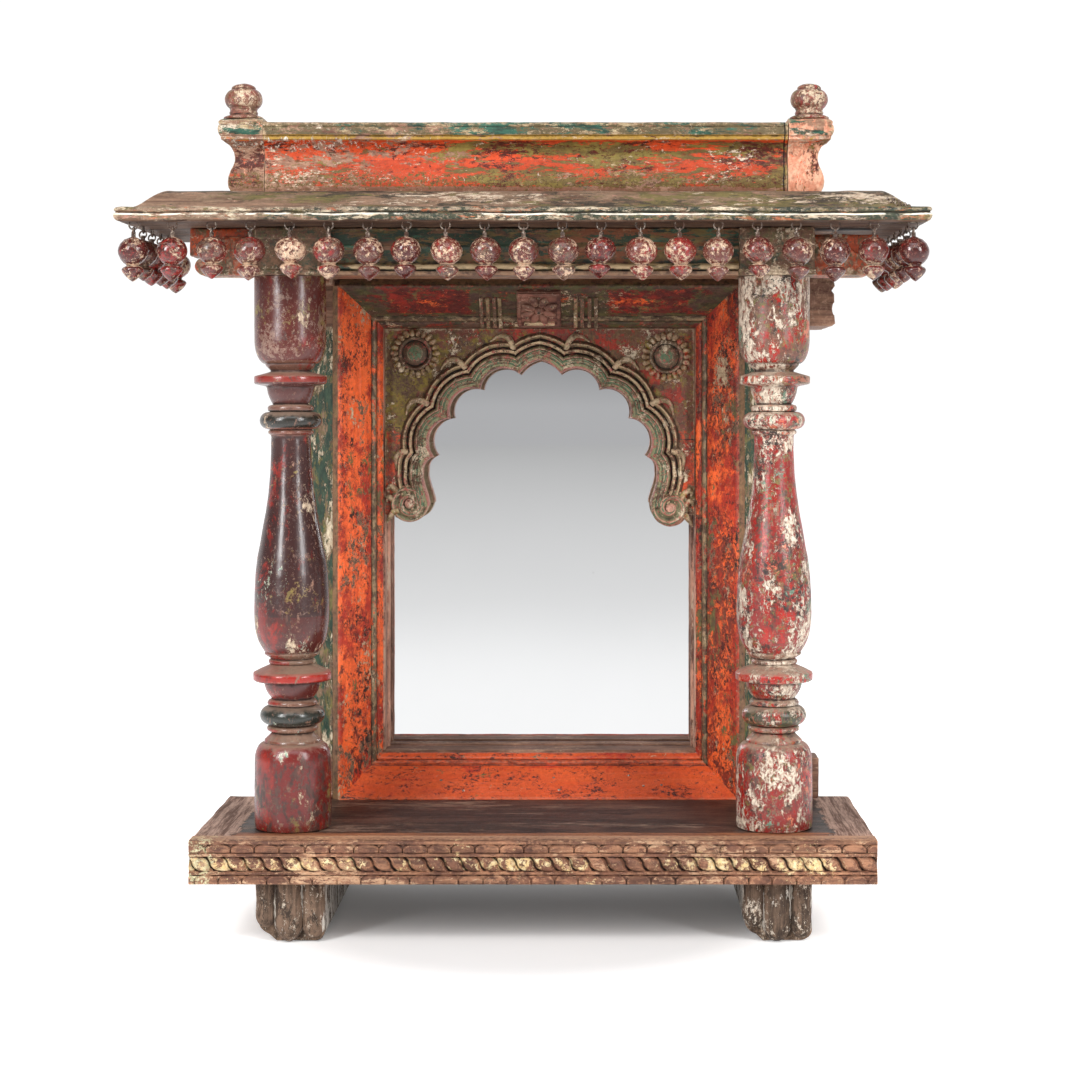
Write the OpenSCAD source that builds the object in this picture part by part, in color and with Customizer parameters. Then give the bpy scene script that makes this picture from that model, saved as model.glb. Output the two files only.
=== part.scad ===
// House shrine: a small carved porch with a mirror niche, two turned columns,
// a cusped arch, a projecting eave and a fringe of hanging wooden drops.

/* [Overall] */
// Distance that the eave edge stands out in front of the base
eave_reach = 32; // [20:1:60]
// Depth from the front of the base to the wall face, where base and roof are notched
wall_d = 268; // [240:1:320]
// Depth of the window frame behind the wall face
frame_behind = 112; // [90:1:160]
// Distance that the roof sits to the left of the base
roof_offset = 10; // [0:1:20]

/* [Feet] */
// Height of the two sledge feet
foot_h = 71; // [50:1:100]
// Width of one foot
foot_w = 78; // [60:1:90]
// Setback of the feet from the front of the base
foot_front = 20; // [10:1:60]
// Setback of the feet from the back of the frame
foot_back = 15; // [5:1:60]
// Radius of the middle lobe on the front end of a foot
foot_lobe_r = 17; // [14:1:20]
// Height of the side lobes' round undersides above the ground
foot_lobe_rise = 14; // [4:1:20]

/* [Base] */
// Width of the base
base_w = 760; // [740:1:800]
// Thickness of the base
base_t = 49; // [40:1:60]
// Depth of the moulded front rail
rail_d = 28; // [20:1:45]
// Height of the plain nosing along the top of the front rail
nosing_h = 12; // [8:1:14]
// Radius of the rope moulding on the front rail
rope_r = 8; // [6:0.5:9]
// Distance that the base's tongue stands out past the jambs, inside the wall opening
tongue_margin = 10; // [0:1:25]

/* [Columns] */
// Distance from the ends of the base to the column axes
col_inset = 107.5; // [95:0.5:120]
// Depth of the column axes behind the front of the base
col_d = 79; // [70:1:100]
// Height of a column
col_h = 626; // [580:1:700]
// Radius of the column's drum base
drum_r = 43.5; // [40:0.5:48]
// Height of the drum base with its rounded shoulder
drum_h = 97; // [80:1:110]
// Radius of the narrow throats
throat_r = 22.5; // [20:0.5:25]
// Radius of the fillets above and below the rings
fillet_r = 28.5; // [26:0.5:31]
// Radius of the lower ring
ring_r = 36.5; // [33:0.5:40]
// Radius of the lower disc
disc_r = 44; // [41:0.5:47]
// Greatest radius of the vase shaft
vase_r = 42.5; // [38:0.5:46]
// Radius of the upper ring
top_ring_r = 35; // [32:0.5:38]
// Radius of the upper disc
top_disc_r = 41; // [38:0.5:44]
// Radius of the capital bell
bell_r = 40.5; // [36:0.5:41]
// Height of the capital bell
bell_h = 100; // [80:1:120]

/* [Window frame] */
// Distance from the column axes to the outer faces of the jambs
jamb_past = 17.5; // [10:0.5:30]
// Width of the splayed casing boards, seen from the front
casing_w = 50; // [44:1:54]
// Thickness of the casing boards along the depth
casing_t = 16; // [10:1:20]
// Distance that the casing's outer edge stands before the frame
casing_proud = 9; // [4:1:14]
// Distance that the frame stands before the wall face
frame_proud = 18; // [10:1:24]
// Width of the jambs that shows beside the casing
jamb_show = 47; // [40:1:56]
// Height of the frame head above the casing
head_cover = 7; // [4:1:12]
// Length of the right horn of the head beyond the jamb
head_horn = 75; // [40:1:85]
// Length of the right horn of the sill beyond the jamb
sill_horn = 52; // [30:1:75]
// Length of the left horns, which were cut shorter
cut_horn = 36; // [20:1:50]
// Radius of the scallop in the ends of the head
scallop_r = 11; // [6:1:14]
// Thickness of the mirror
mirror_t = 4; // [3:0.5:6]
// Thickness of the panel behind the mirror
panel_t = 11; // [8:1:16]
// Depth of the rebate that holds the mirror
rebate = 12; // [8:1:20]

/* [Arch] */
// Thickness of the arch board
arch_t = 24; // [18:1:30]
// Setback of the arch board from the casing's inner edge
arch_setback = 14; // [13:1:20]
// Clear space between the cusp circle and the jambs
arch_margin = 56; // [52:1:62]
// Height of the arch board between the cusp circle and the top of the opening
arch_head = 54; // [48:1:60]
// Angle between neighbouring foils
foil_step = 22; // [21:0.5:23]
// Depth of a foil beyond its two cusps, as a share of half the distance between them
foil_share = 0.61; // [0.45:0.01:0.72]
// Height of the pointed middle foil, as a share of the same half distance
apex_share = 0.67; // [0.5:0.01:0.85]
// Offset of the two arcs that make the middle foil's point, as a share of the same
apex_shift = 0.38; // [0.15:0.01:0.6]
// Width of the carved border round the foils
border_w = 20; // [16:1:22]
// Height of one step of the carved border
border_step = 4; // [2:0.5:6]
// Radius of the scroll at the foot of the arch
scroll_r = 25; // [22:0.5:27]
// Radius of the rosettes in the spandrels
rosette_r = 25; // [20:1:27]

/* [Beams] */
// Height of the beams over the columns
beam_h = 54; // [48:1:70]
// Depth of the front beam
beam_d = 68; // [60:1:76]
// Width and depth of the bracket blocks over the columns
block_w = 84; // [82:1:96]
// Width of the side beams
side_beam_w = 48; // [40:1:52]
// Distance of the bracket arms' tips from the eave edge
arm_setback = 52; // [48:1:70]
// Height of the bracket arms
arm_h = 44; // [40:1:46]
// Thickness of the bracket arms
arm_t = 50; // [40:1:70]
// Radius of the arms' tongue tips
tip_r = 11; // [8:0.5:13]

/* [Eave and roof] */
// Distance that the eave stands out past the ends of the base
eave_side_reach = 65; // [55:1:90]
// Width of the eave boards from their edge to the parapet
eave_board_w = 92; // [85:1:105]
// Height of the eave's upright edge
eave_edge = 16; // [12:0.5:20]
// Height of the roof at the parapet above the soffit
roof_t = 38; // [32:1:50]
// Width of the flat ledge along the eave edge
eave_ledge = 12; // [10:1:20]
// Width of the rounded rise behind the ledge
eave_crown = 40; // [32:1:48]

/* [Parapet] */
// Height of the parapet rail
parapet_h = 83; // [70:1:100]
// Width and depth of the parapet's end blocks
end_block_w = 51; // [46:1:60]
// Height of the end blocks above the rail
end_block_rise = 5; // [2:1:12]
// Setback of the parapet from the edge of the roof deck
parapet_set = 4; // [0:1:10]
// Inset of the hollow in the parapet moulding from the cap's edge
hollow_inset = 17; // [13:0.5:19]
// Inset of the swelling under the hollow from the cap's edge
swell_inset = 10; // [7:0.5:12]
// Inset of the foot of the parapet moulding from the cap's edge
heel_inset = 20; // [14:0.5:22]
// Greatest radius of the finials
finial_r = 21; // [17:0.5:23]
// Height of the finials
finial_h = 42; // [36:1:60]

/* [Drops] */
// Number of drops along the front
front_drops = 21; // [11:2:21]
// Number of drops along each side behind the corner
side_drops = 5; // [3:1:5]
// Distance between the drops along a side
side_pitch = 48; // [44:1:52]
// Distance of the drops from the eave edge
drop_inset = 18; // [18:0.5:22]
// Radius of a drop's bead
bead_r = 16.5; // [14:0.5:18]
// Height of a drop's bead
bead_h = 27; // [22:1:30]
// Radius of a drop's bud
bud_r = 11.5; // [9:0.5:13]
// Height of a drop's bud
bud_h = 17.5; // [14:0.5:22]
// Radius of the wire
wire_r = 1; // [0.8:0.1:1.2]
// Radius of the hooks, to the middle of the wire
hook_r = 5; // [4.5:0.5:6]
// Radius of the drops' eyes, to the middle of the wire
eye_r = 4; // [3.5:0.5:4.5]
// Clearance between a hook and an eye
wire_gap = 0.3; // [0.2:0.1:0.5]

/* [Hidden] */
$fn = 48;
cut = 1;

// Levels
base_top = foot_h + base_t;
beam_z = base_top + col_h;
soffit = beam_z + beam_h;
roof_top = soffit + roof_t;
rail_top = roof_top + parapet_h;
block_top = rail_top + end_block_rise;
open_z = base_top + casing_w;
open_top = beam_z - casing_w;
open_h = open_top - open_z;
head_h = casing_w + head_cover;

// Depths behind the front of the base
frame_back = wall_d + frame_behind;
frame_front = wall_d - frame_proud;
casing_front = frame_front - casing_proud;
casing_inner = casing_front + casing_w;
mirror_d = frame_back - panel_t - mirror_t;
arch_front = casing_inner + arch_setback;
block_front = col_d - block_w / 2;
beam_front = col_d - beam_d / 2;
deck_front = eave_board_w - eave_reach;
depth_middle = (frame_back - eave_reach) / 2;

// Half widths
base_half = base_w / 2;
col_x = base_half - col_inset;
jamb_half = col_x + jamb_past;
casing_half = jamb_half - jamb_show;
open_half = casing_half - casing_w;
eave_half = base_half + eave_side_reach;
deck_half = eave_half - eave_board_w;
parapet_half = deck_half - parapet_set;

// Parapet: inset of the fillet from the cap's edge, and the shares of the moulding's
// height at which its hollow is deepest and its swelling fullest
fillet_inset = 4;
hollow_at = 0.4;
swell_at = 0.75;

// Heights of the turned members under the shaft and between the shaft and the bell
column_foot_h = 87.5;
column_cap_h = 79;

// Arch
arch_r = open_half - arch_margin;
arch_z = open_top - arch_head - arch_r;
foil_half = foil_step / 2;
half_chord = arch_r * sin(foil_half);
foil_bulge = foil_share * half_chord;
apex_rise = apex_share * half_chord;
apex_offset = apex_shift * half_chord;
foil_r = (half_chord * half_chord + foil_bulge * foil_bulge) / (2 * foil_bulge);
cusp_h = arch_r * cos(foil_half);
foil_centre = cusp_h + foil_bulge - foil_r;
apex_centre = cusp_h + (apex_rise - half_chord * (half_chord + 2 * apex_offset) / apex_rise) / 2;
apex_r = norm([apex_offset, cusp_h + apex_rise - apex_centre]);
foil_pairs = 4;
scroll_margin = 3;
scroll_x = open_half - scroll_r - scroll_margin;
scroll_z = arch_z - scroll_r - scroll_margin;
arch_bottom = scroll_z - scroll_r;
rosette_margin = 8;
rosette_x = open_half - rosette_r - rosette_margin;
rosette_z = open_top - rosette_r - rosette_margin;

// Drops: the hinge is the middle of the hook's lowest wire, and the eye is sunk in the bead
hook_hang = 1.5;
hinge_z = soffit - hook_hang * hook_r;
eye_drop = eye_r - 2 * wire_r - wire_gap;
bead_gap = eye_drop + eye_r - wire_r / 2;
row_x = eave_half - drop_inset;
row_d = drop_inset - eave_reach;
front_pitch = 2 * row_x / (front_drops - 1);

function two_digits(i) = str(i < 10 ? "0" : "", i);
front_names = [for (i = [1:front_drops]) str("drop_front_", two_digits(i))];
left_names = [for (i = [1:side_drops]) str("drop_left_", i)];
right_names = [for (i = [1:side_drops]) str("drop_right_", i)];
fixed_names = [
    "feet", "base_board", "base_front_rail", "left_column", "right_column",
    "frame_sill", "frame_head", "left_jamb", "right_jamb",
    "casing_left", "casing_right", "casing_top", "casing_bottom",
    "arch_left", "arch_right", "flower_panel", "mirror", "back_panel",
    "front_beam", "bracket_capitals", "side_beams", "back_beam",
    "eave_front", "eave_sides", "roof_deck",
    "parapet_rail", "parapet_blocks", "finials", "drop_hooks"
];

// The porch stands beside the middle of the roof, and both share one depth
module porch() {
    translate([roof_offset, -depth_middle, 0]) children();
}

module roof() {
    translate([0, -depth_middle, 0]) children();
}

// A copy on each side of the middle
module both_sides() {
    children();
    mirror([1, 0, 0]) children();
}

// A block between two corners
module block(low, high) {
    translate(low) cube(high - low);
}

// An outline drawn in depth and height, run along the width
module along_width(from, to) {
    translate([from, 0, 0]) rotate([90, 0, 90]) linear_extrude(to - from) children();
}

// An outline drawn in width and height, run along the depth
module along_depth(from, to) {
    translate([0, to, 0]) rotate([90, 0, 0]) linear_extrude(to - from) children();
}

// A smooth rise from 0 to 1
function ease(t) = (1 - cos(180 * t)) / 2;

// Members of a turned profile, drawn as radius and height
module turned_drum(z, h, r) {
    translate([0, z]) square([r, h]);
}

// A ring with a half round edge
module turned_ring(z, h, r) {
    turned_drum(z, h, r - h / 2);
    intersection() {
        translate([r - h / 2, z + h / 2]) circle(h / 2);
        turned_drum(z, h, r);
    }
}

module turned_taper(z, h, r_low, r_high) {
    polygon([[0, z], [r_low, z], [r_high, z + h], [0, z + h]]);
}

// A quarter round shoulder that closes from r_low to r_high
module turned_shoulder(z, h, r_low, r_high) {
    steps = 6;
    arc = [for (i = [0:steps]) [
        r_high + (r_low - r_high) * cos(90 * i / steps),
        z + h * sin(90 * i / steps)
    ]];
    polygon(concat([[0, z]], arc, [[0, z + h]]));
}

// Feet: two beams that run front to back, with three round-bottomed lobes on the front end
module foot_lobe(x, r, rise) {
    translate([x, foot_front + foot_lobe_r, 0]) {
        translate([0, 0, rise + r]) cylinder(r = r, h = foot_h - rise - r);
        translate([0, 0, rise + r]) sphere(r);
    }
}

module foot() {
    side_lobe_r = (foot_w - 2 * foot_lobe_r) / 4;
    block([-foot_w / 2, foot_front + foot_lobe_r, 0], [foot_w / 2, frame_back - foot_back, foot_h]);
    foot_lobe(0, foot_lobe_r, 0);
    for (side = [-1, 1])
        foot_lobe(side * (foot_lobe_r + side_lobe_r), side_lobe_r, foot_lobe_rise);
}

module feet() {
    color("dimgray") porch() both_sides() translate([col_x, 0, 0]) foot();
}

// Base: a thick board, notched where it enters the wall, behind a moulded rail
module base_board() {
    color("saddlebrown") porch() {
        block([-base_half, rail_d, foot_h], [base_half, wall_d, base_top]);
        tongue_half = jamb_half + tongue_margin;
        block([-tongue_half, wall_d, foot_h], [tongue_half, frame_back, base_top]);
    }
}

module rail_profile() {
    nosing_r = nosing_h / 2;
    rope_z = foot_h + (base_t - nosing_h) / 2;
    difference() {
        union() {
            translate([nosing_r, foot_h]) square([rail_d - nosing_r, base_t]);
            translate([nosing_r, base_top - nosing_r]) circle(nosing_r);
        }
        translate([0, base_top - nosing_h - rope_r]) circle(rope_r);
        translate([0, foot_h]) circle(rope_r);
    }
    translate([rope_r, rope_z]) circle(rope_r);
}

module base_front_rail() {
    color("sienna") porch() along_width(-base_half, base_half) rail_profile();
}

// Columns: turned in one piece. From the foot up come a drum, a ring, a cup, a disc and
// the vase shaft, and over the shaft a second ring, cup and disc under the bell.
module column_foot() {
    shoulder_h = 20;
    lip_h = 3;
    cone_h = 9;
    fillet_h = 7;
    ring_h = 22;
    cup_h = 19;
    underside_h = 3;
    rim_h = 8.5;
    slope_h = 9;
    lip_r = fillet_r + 3;
    cone_z = drum_h + lip_h;
    fillet_z = cone_z + cone_h;
    ring_z = fillet_z + fillet_h;
    collar_z = ring_z + ring_h;
    cup_z = collar_z + fillet_h;
    rim_z = cup_z + cup_h + underside_h;
    turned_drum(0, drum_h - shoulder_h, drum_r);
    turned_shoulder(drum_h - shoulder_h, shoulder_h, drum_r, lip_r);
    turned_drum(drum_h, lip_h, lip_r);
    turned_taper(cone_z, cone_h, lip_r, throat_r);
    turned_ring(fillet_z, fillet_h, fillet_r);
    turned_ring(ring_z, ring_h, ring_r);
    turned_taper(collar_z, fillet_h, fillet_r, throat_r + 2);
    turned_opening(cup_z, cup_h, throat_r, lip_r);
    turned_taper(rim_z - underside_h, underside_h, lip_r, disc_r - 1);
    turned_drum(rim_z, rim_h, disc_r);
    turned_taper(rim_z + rim_h, slope_h, disc_r, throat_r + 2);
}

module column_shaft() {
    ring_h = 6;
    bevel_h = 7;
    belly_h = 46;
    throat_h = 16;
    ring_z = drum_h + column_foot_h;
    belly_z = ring_z + ring_h + bevel_h;
    throat_z = col_h - bell_h - column_cap_h - throat_h;
    turned_ring(ring_z, ring_h, fillet_r - 2);
    turned_taper(ring_z + ring_h, bevel_h, throat_r + 2, fillet_r + 2);
    turned_opening(belly_z, belly_h, fillet_r + 2, vase_r);
    vase_taper(belly_z + belly_h, throat_z - belly_z - belly_h, vase_r, throat_r);
    turned_drum(throat_z, throat_h, throat_r);
}

module column_cap() {
    fillet_h = 6;
    ring_h = 20;
    collar_h = 7;
    cup_h = 20;
    underside_h = 4;
    rim_h = 8;
    slope_h = 6;
    bevel_h = 8;
    round_h = 28;
    bell_z = col_h - bell_h;
    fillet_z = bell_z - column_cap_h;
    ring_z = fillet_z + fillet_h;
    collar_z = ring_z + ring_h;
    cup_z = collar_z + collar_h;
    rim_z = cup_z + cup_h + underside_h;
    turned_ring(fillet_z, fillet_h, fillet_r - 3);
    turned_ring(ring_z, ring_h, top_ring_r);
    turned_taper(collar_z, collar_h, fillet_r - 2, throat_r);
    turned_opening(cup_z, cup_h, throat_r - 3, fillet_r - 1);
    turned_taper(rim_z - underside_h, underside_h, fillet_r - 1, top_disc_r - 1);
    turned_drum(rim_z, rim_h, top_disc_r);
    turned_taper(rim_z + rim_h, slope_h, top_disc_r, throat_r);
    turned_taper(bell_z - bevel_h, bevel_h, throat_r, fillet_r);
    turned_opening(bell_z, round_h, fillet_r, bell_r);
    turned_drum(bell_z + round_h, bell_h - round_h, bell_r);
}

module column_profile() {
    column_foot();
    column_shaft();
    column_cap();
}

// A quarter round that opens upward from r_low to r_high
module turned_opening(z, h, r_low, r_high) {
    steps = 6;
    arc = [for (i = [0:steps]) [
        r_low + (r_high - r_low) * sin(90 * i / steps),
        z + h * (1 - cos(90 * i / steps))
    ]];
    polygon(concat([[0, z]], arc, [[0, z + h]]));
}

// The long taper of the vase, full at the belly and slim at the throat
module vase_taper(z, h, r_low, r_high) {
    steps = 8;
    arc = [for (i = [0:steps]) [
        r_low + (r_high - r_low) * ease(i / steps),
        z + h * i / steps
    ]];
    polygon(concat([[0, z]], arc, [[0, z + h]]));
}

module column() {
    translate([col_x, col_d, base_top]) rotate_extrude() column_profile();
}

module left_column() {
    color("maroon") porch() mirror([1, 0, 0]) column();
}

module right_column() {
    color("firebrick") porch() column();
}

// Window frame: a head and a sill with horns, and two jambs between them.
// Their fronts are splayed behind the casing and rebated for the mirror.
module jamb() {
    splay_back = casing_front + casing_t;
    translate([0, 0, open_z]) linear_extrude(open_h) polygon([
        [jamb_half, frame_front],
        [casing_half, frame_front],
        [casing_half, splay_back],
        [open_half, splay_back + casing_w],
        [open_half, mirror_d],
        [open_half + rebate, mirror_d],
        [open_half + rebate, frame_back],
        [jamb_half, frame_back]
    ]);
}

// A head or sill: splayed behind the casing, square in the cover beyond it and in its ends
module cross_piece(cover, right_horn) {
    splay_back = casing_front + casing_t;
    along_width(-casing_half, casing_half) polygon([
        [splay_back, casing_w],
        [splay_back + casing_w, 0],
        [frame_back, 0],
        [frame_back, casing_w]
    ]);
    if (cover > 0)
        block([-casing_half, frame_front, casing_w], [casing_half, frame_back, casing_w + cover]);
    block([casing_half, frame_front, 0], [jamb_half + right_horn, frame_back, casing_w + cover]);
    block([-jamb_half - cut_horn, frame_front, 0], [-casing_half, frame_back, casing_w + cover]);
}

module mirror_rebate() {
    block(
        [-open_half - rebate, mirror_d, open_z - rebate],
        [open_half + rebate, frame_back + cut, open_top + rebate]
    );
}

module frame_head() {
    color("peru") porch() difference() {
        translate([0, 0, open_top]) cross_piece(head_cover, head_horn);
        mirror_rebate();
        along_depth(frame_front - cut, frame_back + cut)
            translate([jamb_half + head_horn, open_top + head_h / 2]) circle(scallop_r);
    }
}

module frame_sill() {
    color("peru") porch() difference() {
        translate([0, 0, open_z]) mirror([0, 0, 1]) cross_piece(0, sill_horn);
        mirror_rebate();
    }
}

module left_jamb() {
    color("darkseagreen") porch() mirror([1, 0, 0]) jamb();
}

module right_jamb() {
    color("darkseagreen") porch() jamb();
}

// Casing: four splayed boards, mitred at the corners
module casing_side() {
    intersection() {
        linear_extrude(soffit) polygon([
            [casing_half, casing_front],
            [casing_half, casing_front + casing_t],
            [open_half, casing_inner + casing_t],
            [open_half, casing_inner]
        ]);
        along_depth(0, frame_back) polygon([
            [casing_half, open_z - casing_w],
            [open_half, open_z],
            [open_half, open_top],
            [casing_half, open_top + casing_w]
        ]);
    }
}

// The board over the opening, with its inner edge at height zero
module casing_cross() {
    intersection() {
        along_width(-casing_half, casing_half) polygon([
            [casing_front, casing_w],
            [casing_front + casing_t, casing_w],
            [casing_inner + casing_t, 0],
            [casing_inner, 0]
        ]);
        along_depth(0, frame_back) polygon([
            [-casing_half, casing_w],
            [-open_half, 0],
            [open_half, 0],
            [casing_half, casing_w]
        ]);
    }
}

module casing_left() {
    color("orangered") porch() mirror([1, 0, 0]) casing_side();
}

module casing_right() {
    color("orangered") porch() casing_side();
}

module casing_top() {
    color("orangered") porch() translate([0, 0, open_top]) casing_cross();
}

module casing_bottom() {
    color("orangered") porch() translate([0, 0, open_z]) mirror([0, 0, 1]) casing_cross();
}

// Flower block on the middle of the top casing
module flower_panel() {
    panel_w = 54;
    panel_h = 58;
    panel_thick = 6;
    petal_count = 8;
    petal_r = 5;
    petal_h = 3;
    petal_ring = 14;
    boss_r = 6;
    boss_h = 5;
    color("olivedrab") porch()
        translate([0, casing_front + casing_w / 2, open_top + casing_w / 2]) rotate([135, 0, 0]) {
            translate([-panel_w / 2, -panel_h / 2, 0]) cube([panel_w, panel_h, panel_thick]);
            for (i = [0:petal_count - 1])
                rotate(i * 360 / petal_count) translate([petal_ring, 0, 0])
                    cylinder(r = petal_r, h = panel_thick + petal_h);
            cylinder(r = boss_r, h = panel_thick + boss_h);
        }
}

// Mirror and the panel that backs it
module mirror_plate(front, thickness) {
    block(
        [-open_half - rebate, front, open_z - rebate],
        [open_half + rebate, front + thickness, open_top + rebate]
    );
}

module mirror_glass() {
    color("lightgray") porch() mirror_plate(mirror_d, mirror_t);
}

module back_panel() {
    color("tan") porch() mirror_plate(mirror_d + mirror_t, panel_t);
}

// Arch: nine foils on a circle, a stepped border and scrolls at its feet
module foils(grow) {
    for (side = [-1, 1])
        for (k = [1:foil_pairs])
            translate([0, arch_z]) rotate(side * k * foil_step)
                translate([0, foil_centre]) circle(foil_r + grow);
    intersection_for (side = [-1, 1])
        translate([side * apex_offset, arch_z + apex_centre]) circle(apex_r + grow);
}

module arch_opening() {
    foils(0);
    translate([0, arch_z]) circle(arch_r - border_w / 2);
    waist = scroll_x - scroll_r;
    translate([-waist, scroll_z]) square([2 * waist, arch_z - scroll_z]);
    translate([-scroll_x, arch_bottom - cut]) square([2 * scroll_x, scroll_z - arch_bottom + cut]);
}

module scroll(grow) {
    translate([scroll_x, scroll_z]) circle(scroll_r + grow);
}

// The sunk ring round the eye of a scroll
module scroll_eye() {
    difference() {
        scroll(-scroll_r / 3);
        scroll(-scroll_r * 2 / 3);
    }
}

module arch_outline() {
    difference() {
        translate([0, arch_bottom]) square([open_half, open_top - arch_bottom]);
        arch_opening();
    }
    scroll(0);
}

module border_outline(grow) {
    intersection() {
        arch_outline();
        union() {
            foils(grow);
            scroll(0);
        }
    }
}

module rosette() {
    boss_share = 0.45;
    translate([rosette_x, arch_front, rosette_z]) rotate([90, 0, 0]) {
        cylinder(r = rosette_r, h = border_step);
        cylinder(r = rosette_r * boss_share, h = 2 * border_step);
    }
}

module arch_half() {
    along_depth(arch_front, arch_front + arch_t) arch_outline();
    along_depth(arch_front - border_step, arch_front) border_outline(border_w);
    along_depth(arch_front - 2 * border_step, arch_front - border_step) difference() {
        border_outline(border_w / 2);
        scroll_eye();
    }
    rosette();
}

module arch_left() {
    color("darkolivegreen") porch() mirror([1, 0, 0]) arch_half();
}

module arch_right() {
    color("darkolivegreen") porch() arch_half();
}

// Beams: a front beam between bracket blocks, side beams and a back beam
module beam_profile() {
    line_r = 3;
    line_rise = 12;
    line_z = beam_z + line_rise;
    difference() {
        translate([beam_front, beam_z]) square([beam_d, beam_h]);
        translate([beam_front - cut, line_z]) square([line_r + cut, beam_h]);
    }
    translate([beam_front + line_r, line_z]) circle(line_r);
}

module front_beam() {
    reach = col_x - block_w / 2;
    color("darkgreen") porch() along_width(-reach, reach) beam_profile();
}

module arm_outline() {
    root = col_x + block_w / 2;
    tip = eave_half - arm_setback - roof_offset - tip_r;
    arm_len = tip - root;
    cove_r = arm_h - 2 * tip_r;
    translate([root, beam_z]) square([arm_len, 2 * tip_r]);
    translate([tip, beam_z + tip_r]) circle(tip_r);
    difference() {
        translate([root, beam_z]) square([arm_len, arm_h]);
        translate([tip, beam_z + arm_h]) circle(cove_r);
    }
}

module bracket() {
    block(
        [col_x - block_w / 2, block_front, beam_z],
        [col_x + block_w / 2, block_front + block_w, soffit]
    );
    along_depth(col_d - arm_t / 2, col_d + arm_t / 2) arm_outline();
}

module bracket_capitals() {
    color("olive") porch() both_sides() bracket();
}

module side_beams() {
    color("sienna") porch() both_sides() block(
        [col_x - side_beam_w / 2, block_front + block_w, beam_z],
        [col_x + side_beam_w / 2, frame_front, soffit]
    );
}

module back_beam() {
    color("sienna") porch() block(
        [-jamb_half, frame_front, open_top + head_h],
        [jamb_half, frame_back, soffit]
    );
}

// Eave: moulded boards round three sides, mitred at the hips
module eave_profile() {
    rise = roof_t - eave_edge;
    nose_r = eave_edge / 2;
    steps = 8;
    crown = [for (i = [0:steps]) [
        eave_ledge + eave_crown * i / steps,
        soffit + eave_edge + rise * ease(i / steps)
    ]];
    nose = [for (i = [0:steps]) [
        nose_r * (1 - sin(180 * i / steps)),
        soffit + nose_r * (1 - cos(180 * i / steps))
    ]];
    polygon(concat(
        nose,
        crown,
        [[eave_board_w, roof_top], [eave_board_w, soffit]]
    ));
}

module eave_front() {
    color("darkkhaki") roof() intersection() {
        along_width(-eave_half, eave_half) translate([-eave_reach, 0]) eave_profile();
        linear_extrude(roof_top + cut) polygon([
            [-eave_half, -eave_reach],
            [eave_half, -eave_reach],
            [deck_half, deck_front],
            [-deck_half, deck_front]
        ]);
    }
}

module eave_side() {
    intersection() {
        along_depth(-eave_reach, wall_d) translate([eave_half, 0]) mirror([1, 0]) eave_profile();
        linear_extrude(roof_top + cut) polygon([
            [eave_half, -eave_reach],
            [eave_half, wall_d],
            [deck_half, wall_d],
            [deck_half, deck_front]
        ]);
    }
}

module eave_sides() {
    color("darkkhaki") roof() both_sides() eave_side();
}

module roof_deck() {
    color("rosybrown") roof() {
        block([-deck_half, deck_front, soffit], [deck_half, wall_d, roof_top]);
        block([-jamb_half, wall_d, soffit], [jamb_half, frame_back, roof_top]);
    }
}

// Parapet: a moulded rail between two square end blocks with turned finials

// Inset of the moulding, from the fillet at 0 through hollow and swelling to the heel at 1
function cyma_inset(t) =
    t < hollow_at ? fillet_inset + (hollow_inset - fillet_inset) * sin(90 * t / hollow_at)
    : t < swell_at
    ? hollow_inset + (swell_inset - hollow_inset) * ease((t - hollow_at) / (swell_at - hollow_at))
    : swell_inset + (heel_inset - swell_inset) * (1 - cos(90 * (t - swell_at) / (1 - swell_at)));

module parapet_profile(cap_top) {
    cap_h = 15;
    fillet_h = 5;
    fillet_out = fillet_inset - 1;
    steps = 20;
    fillet_z = rail_top - cap_h - fillet_h;
    moulding = [for (i = [0:steps]) [
        cyma_inset(1 - i / steps),
        roof_top + (fillet_z - roof_top) * i / steps
    ]];
    half = end_block_w / 2 + cut;
    polygon(concat(
        [[half, roof_top]],
        moulding,
        [[fillet_out, fillet_z], [fillet_out, fillet_z + fillet_h], [0, fillet_z + fillet_h]],
        [[0, cap_top], [half, cap_top]]
    ));
}

module parapet_section(cap_top) {
    parapet_profile(cap_top);
    translate([end_block_w, 0]) mirror([1, 0]) parapet_profile(cap_top);
}

// Section of an end block: moulded on its outer side, straight on the side against the rail
module end_section() {
    translate([0, roof_top]) square([end_block_w / 2, block_top - roof_top]);
    translate([end_block_w, 0]) mirror([1, 0]) parapet_profile(block_top);
}

module parapet_rail() {
    reach = parapet_half - end_block_w;
    color("chocolate") roof() along_width(-reach, reach)
        translate([deck_front + parapet_set, 0]) parapet_section(rail_top);
}

module end_block() {
    intersection() {
        along_width(parapet_half - end_block_w, parapet_half)
            translate([deck_front + parapet_set, 0]) parapet_section(block_top);
        along_depth(deck_front + parapet_set, deck_front + parapet_set + end_block_w)
            translate([parapet_half - end_block_w, 0]) end_section();
    }
}

module parapet_blocks() {
    color("coral") roof() both_sides() end_block();
}

module finial_profile() {
    collar_h = 6;
    neck_h = 6;
    cap_h = 6;
    cap_sunk = 1;
    neck_r = finial_r - 5.5;
    cap_r = finial_r - 6;
    cap_z = finial_h - cap_h;
    knob_z = collar_h + neck_h;
    turned_ring(0, collar_h, finial_r + 1);
    turned_drum(collar_h, neck_h, neck_r);
    turned_ring(knob_z, cap_z - knob_z, finial_r);
    turned_ring(cap_z - cap_sunk, cap_h + cap_sunk, cap_r);
}

module finial() {
    translate([parapet_half - end_block_w / 2, deck_front + parapet_set + end_block_w / 2, block_top])
        rotate_extrude() finial_profile();
}

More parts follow.
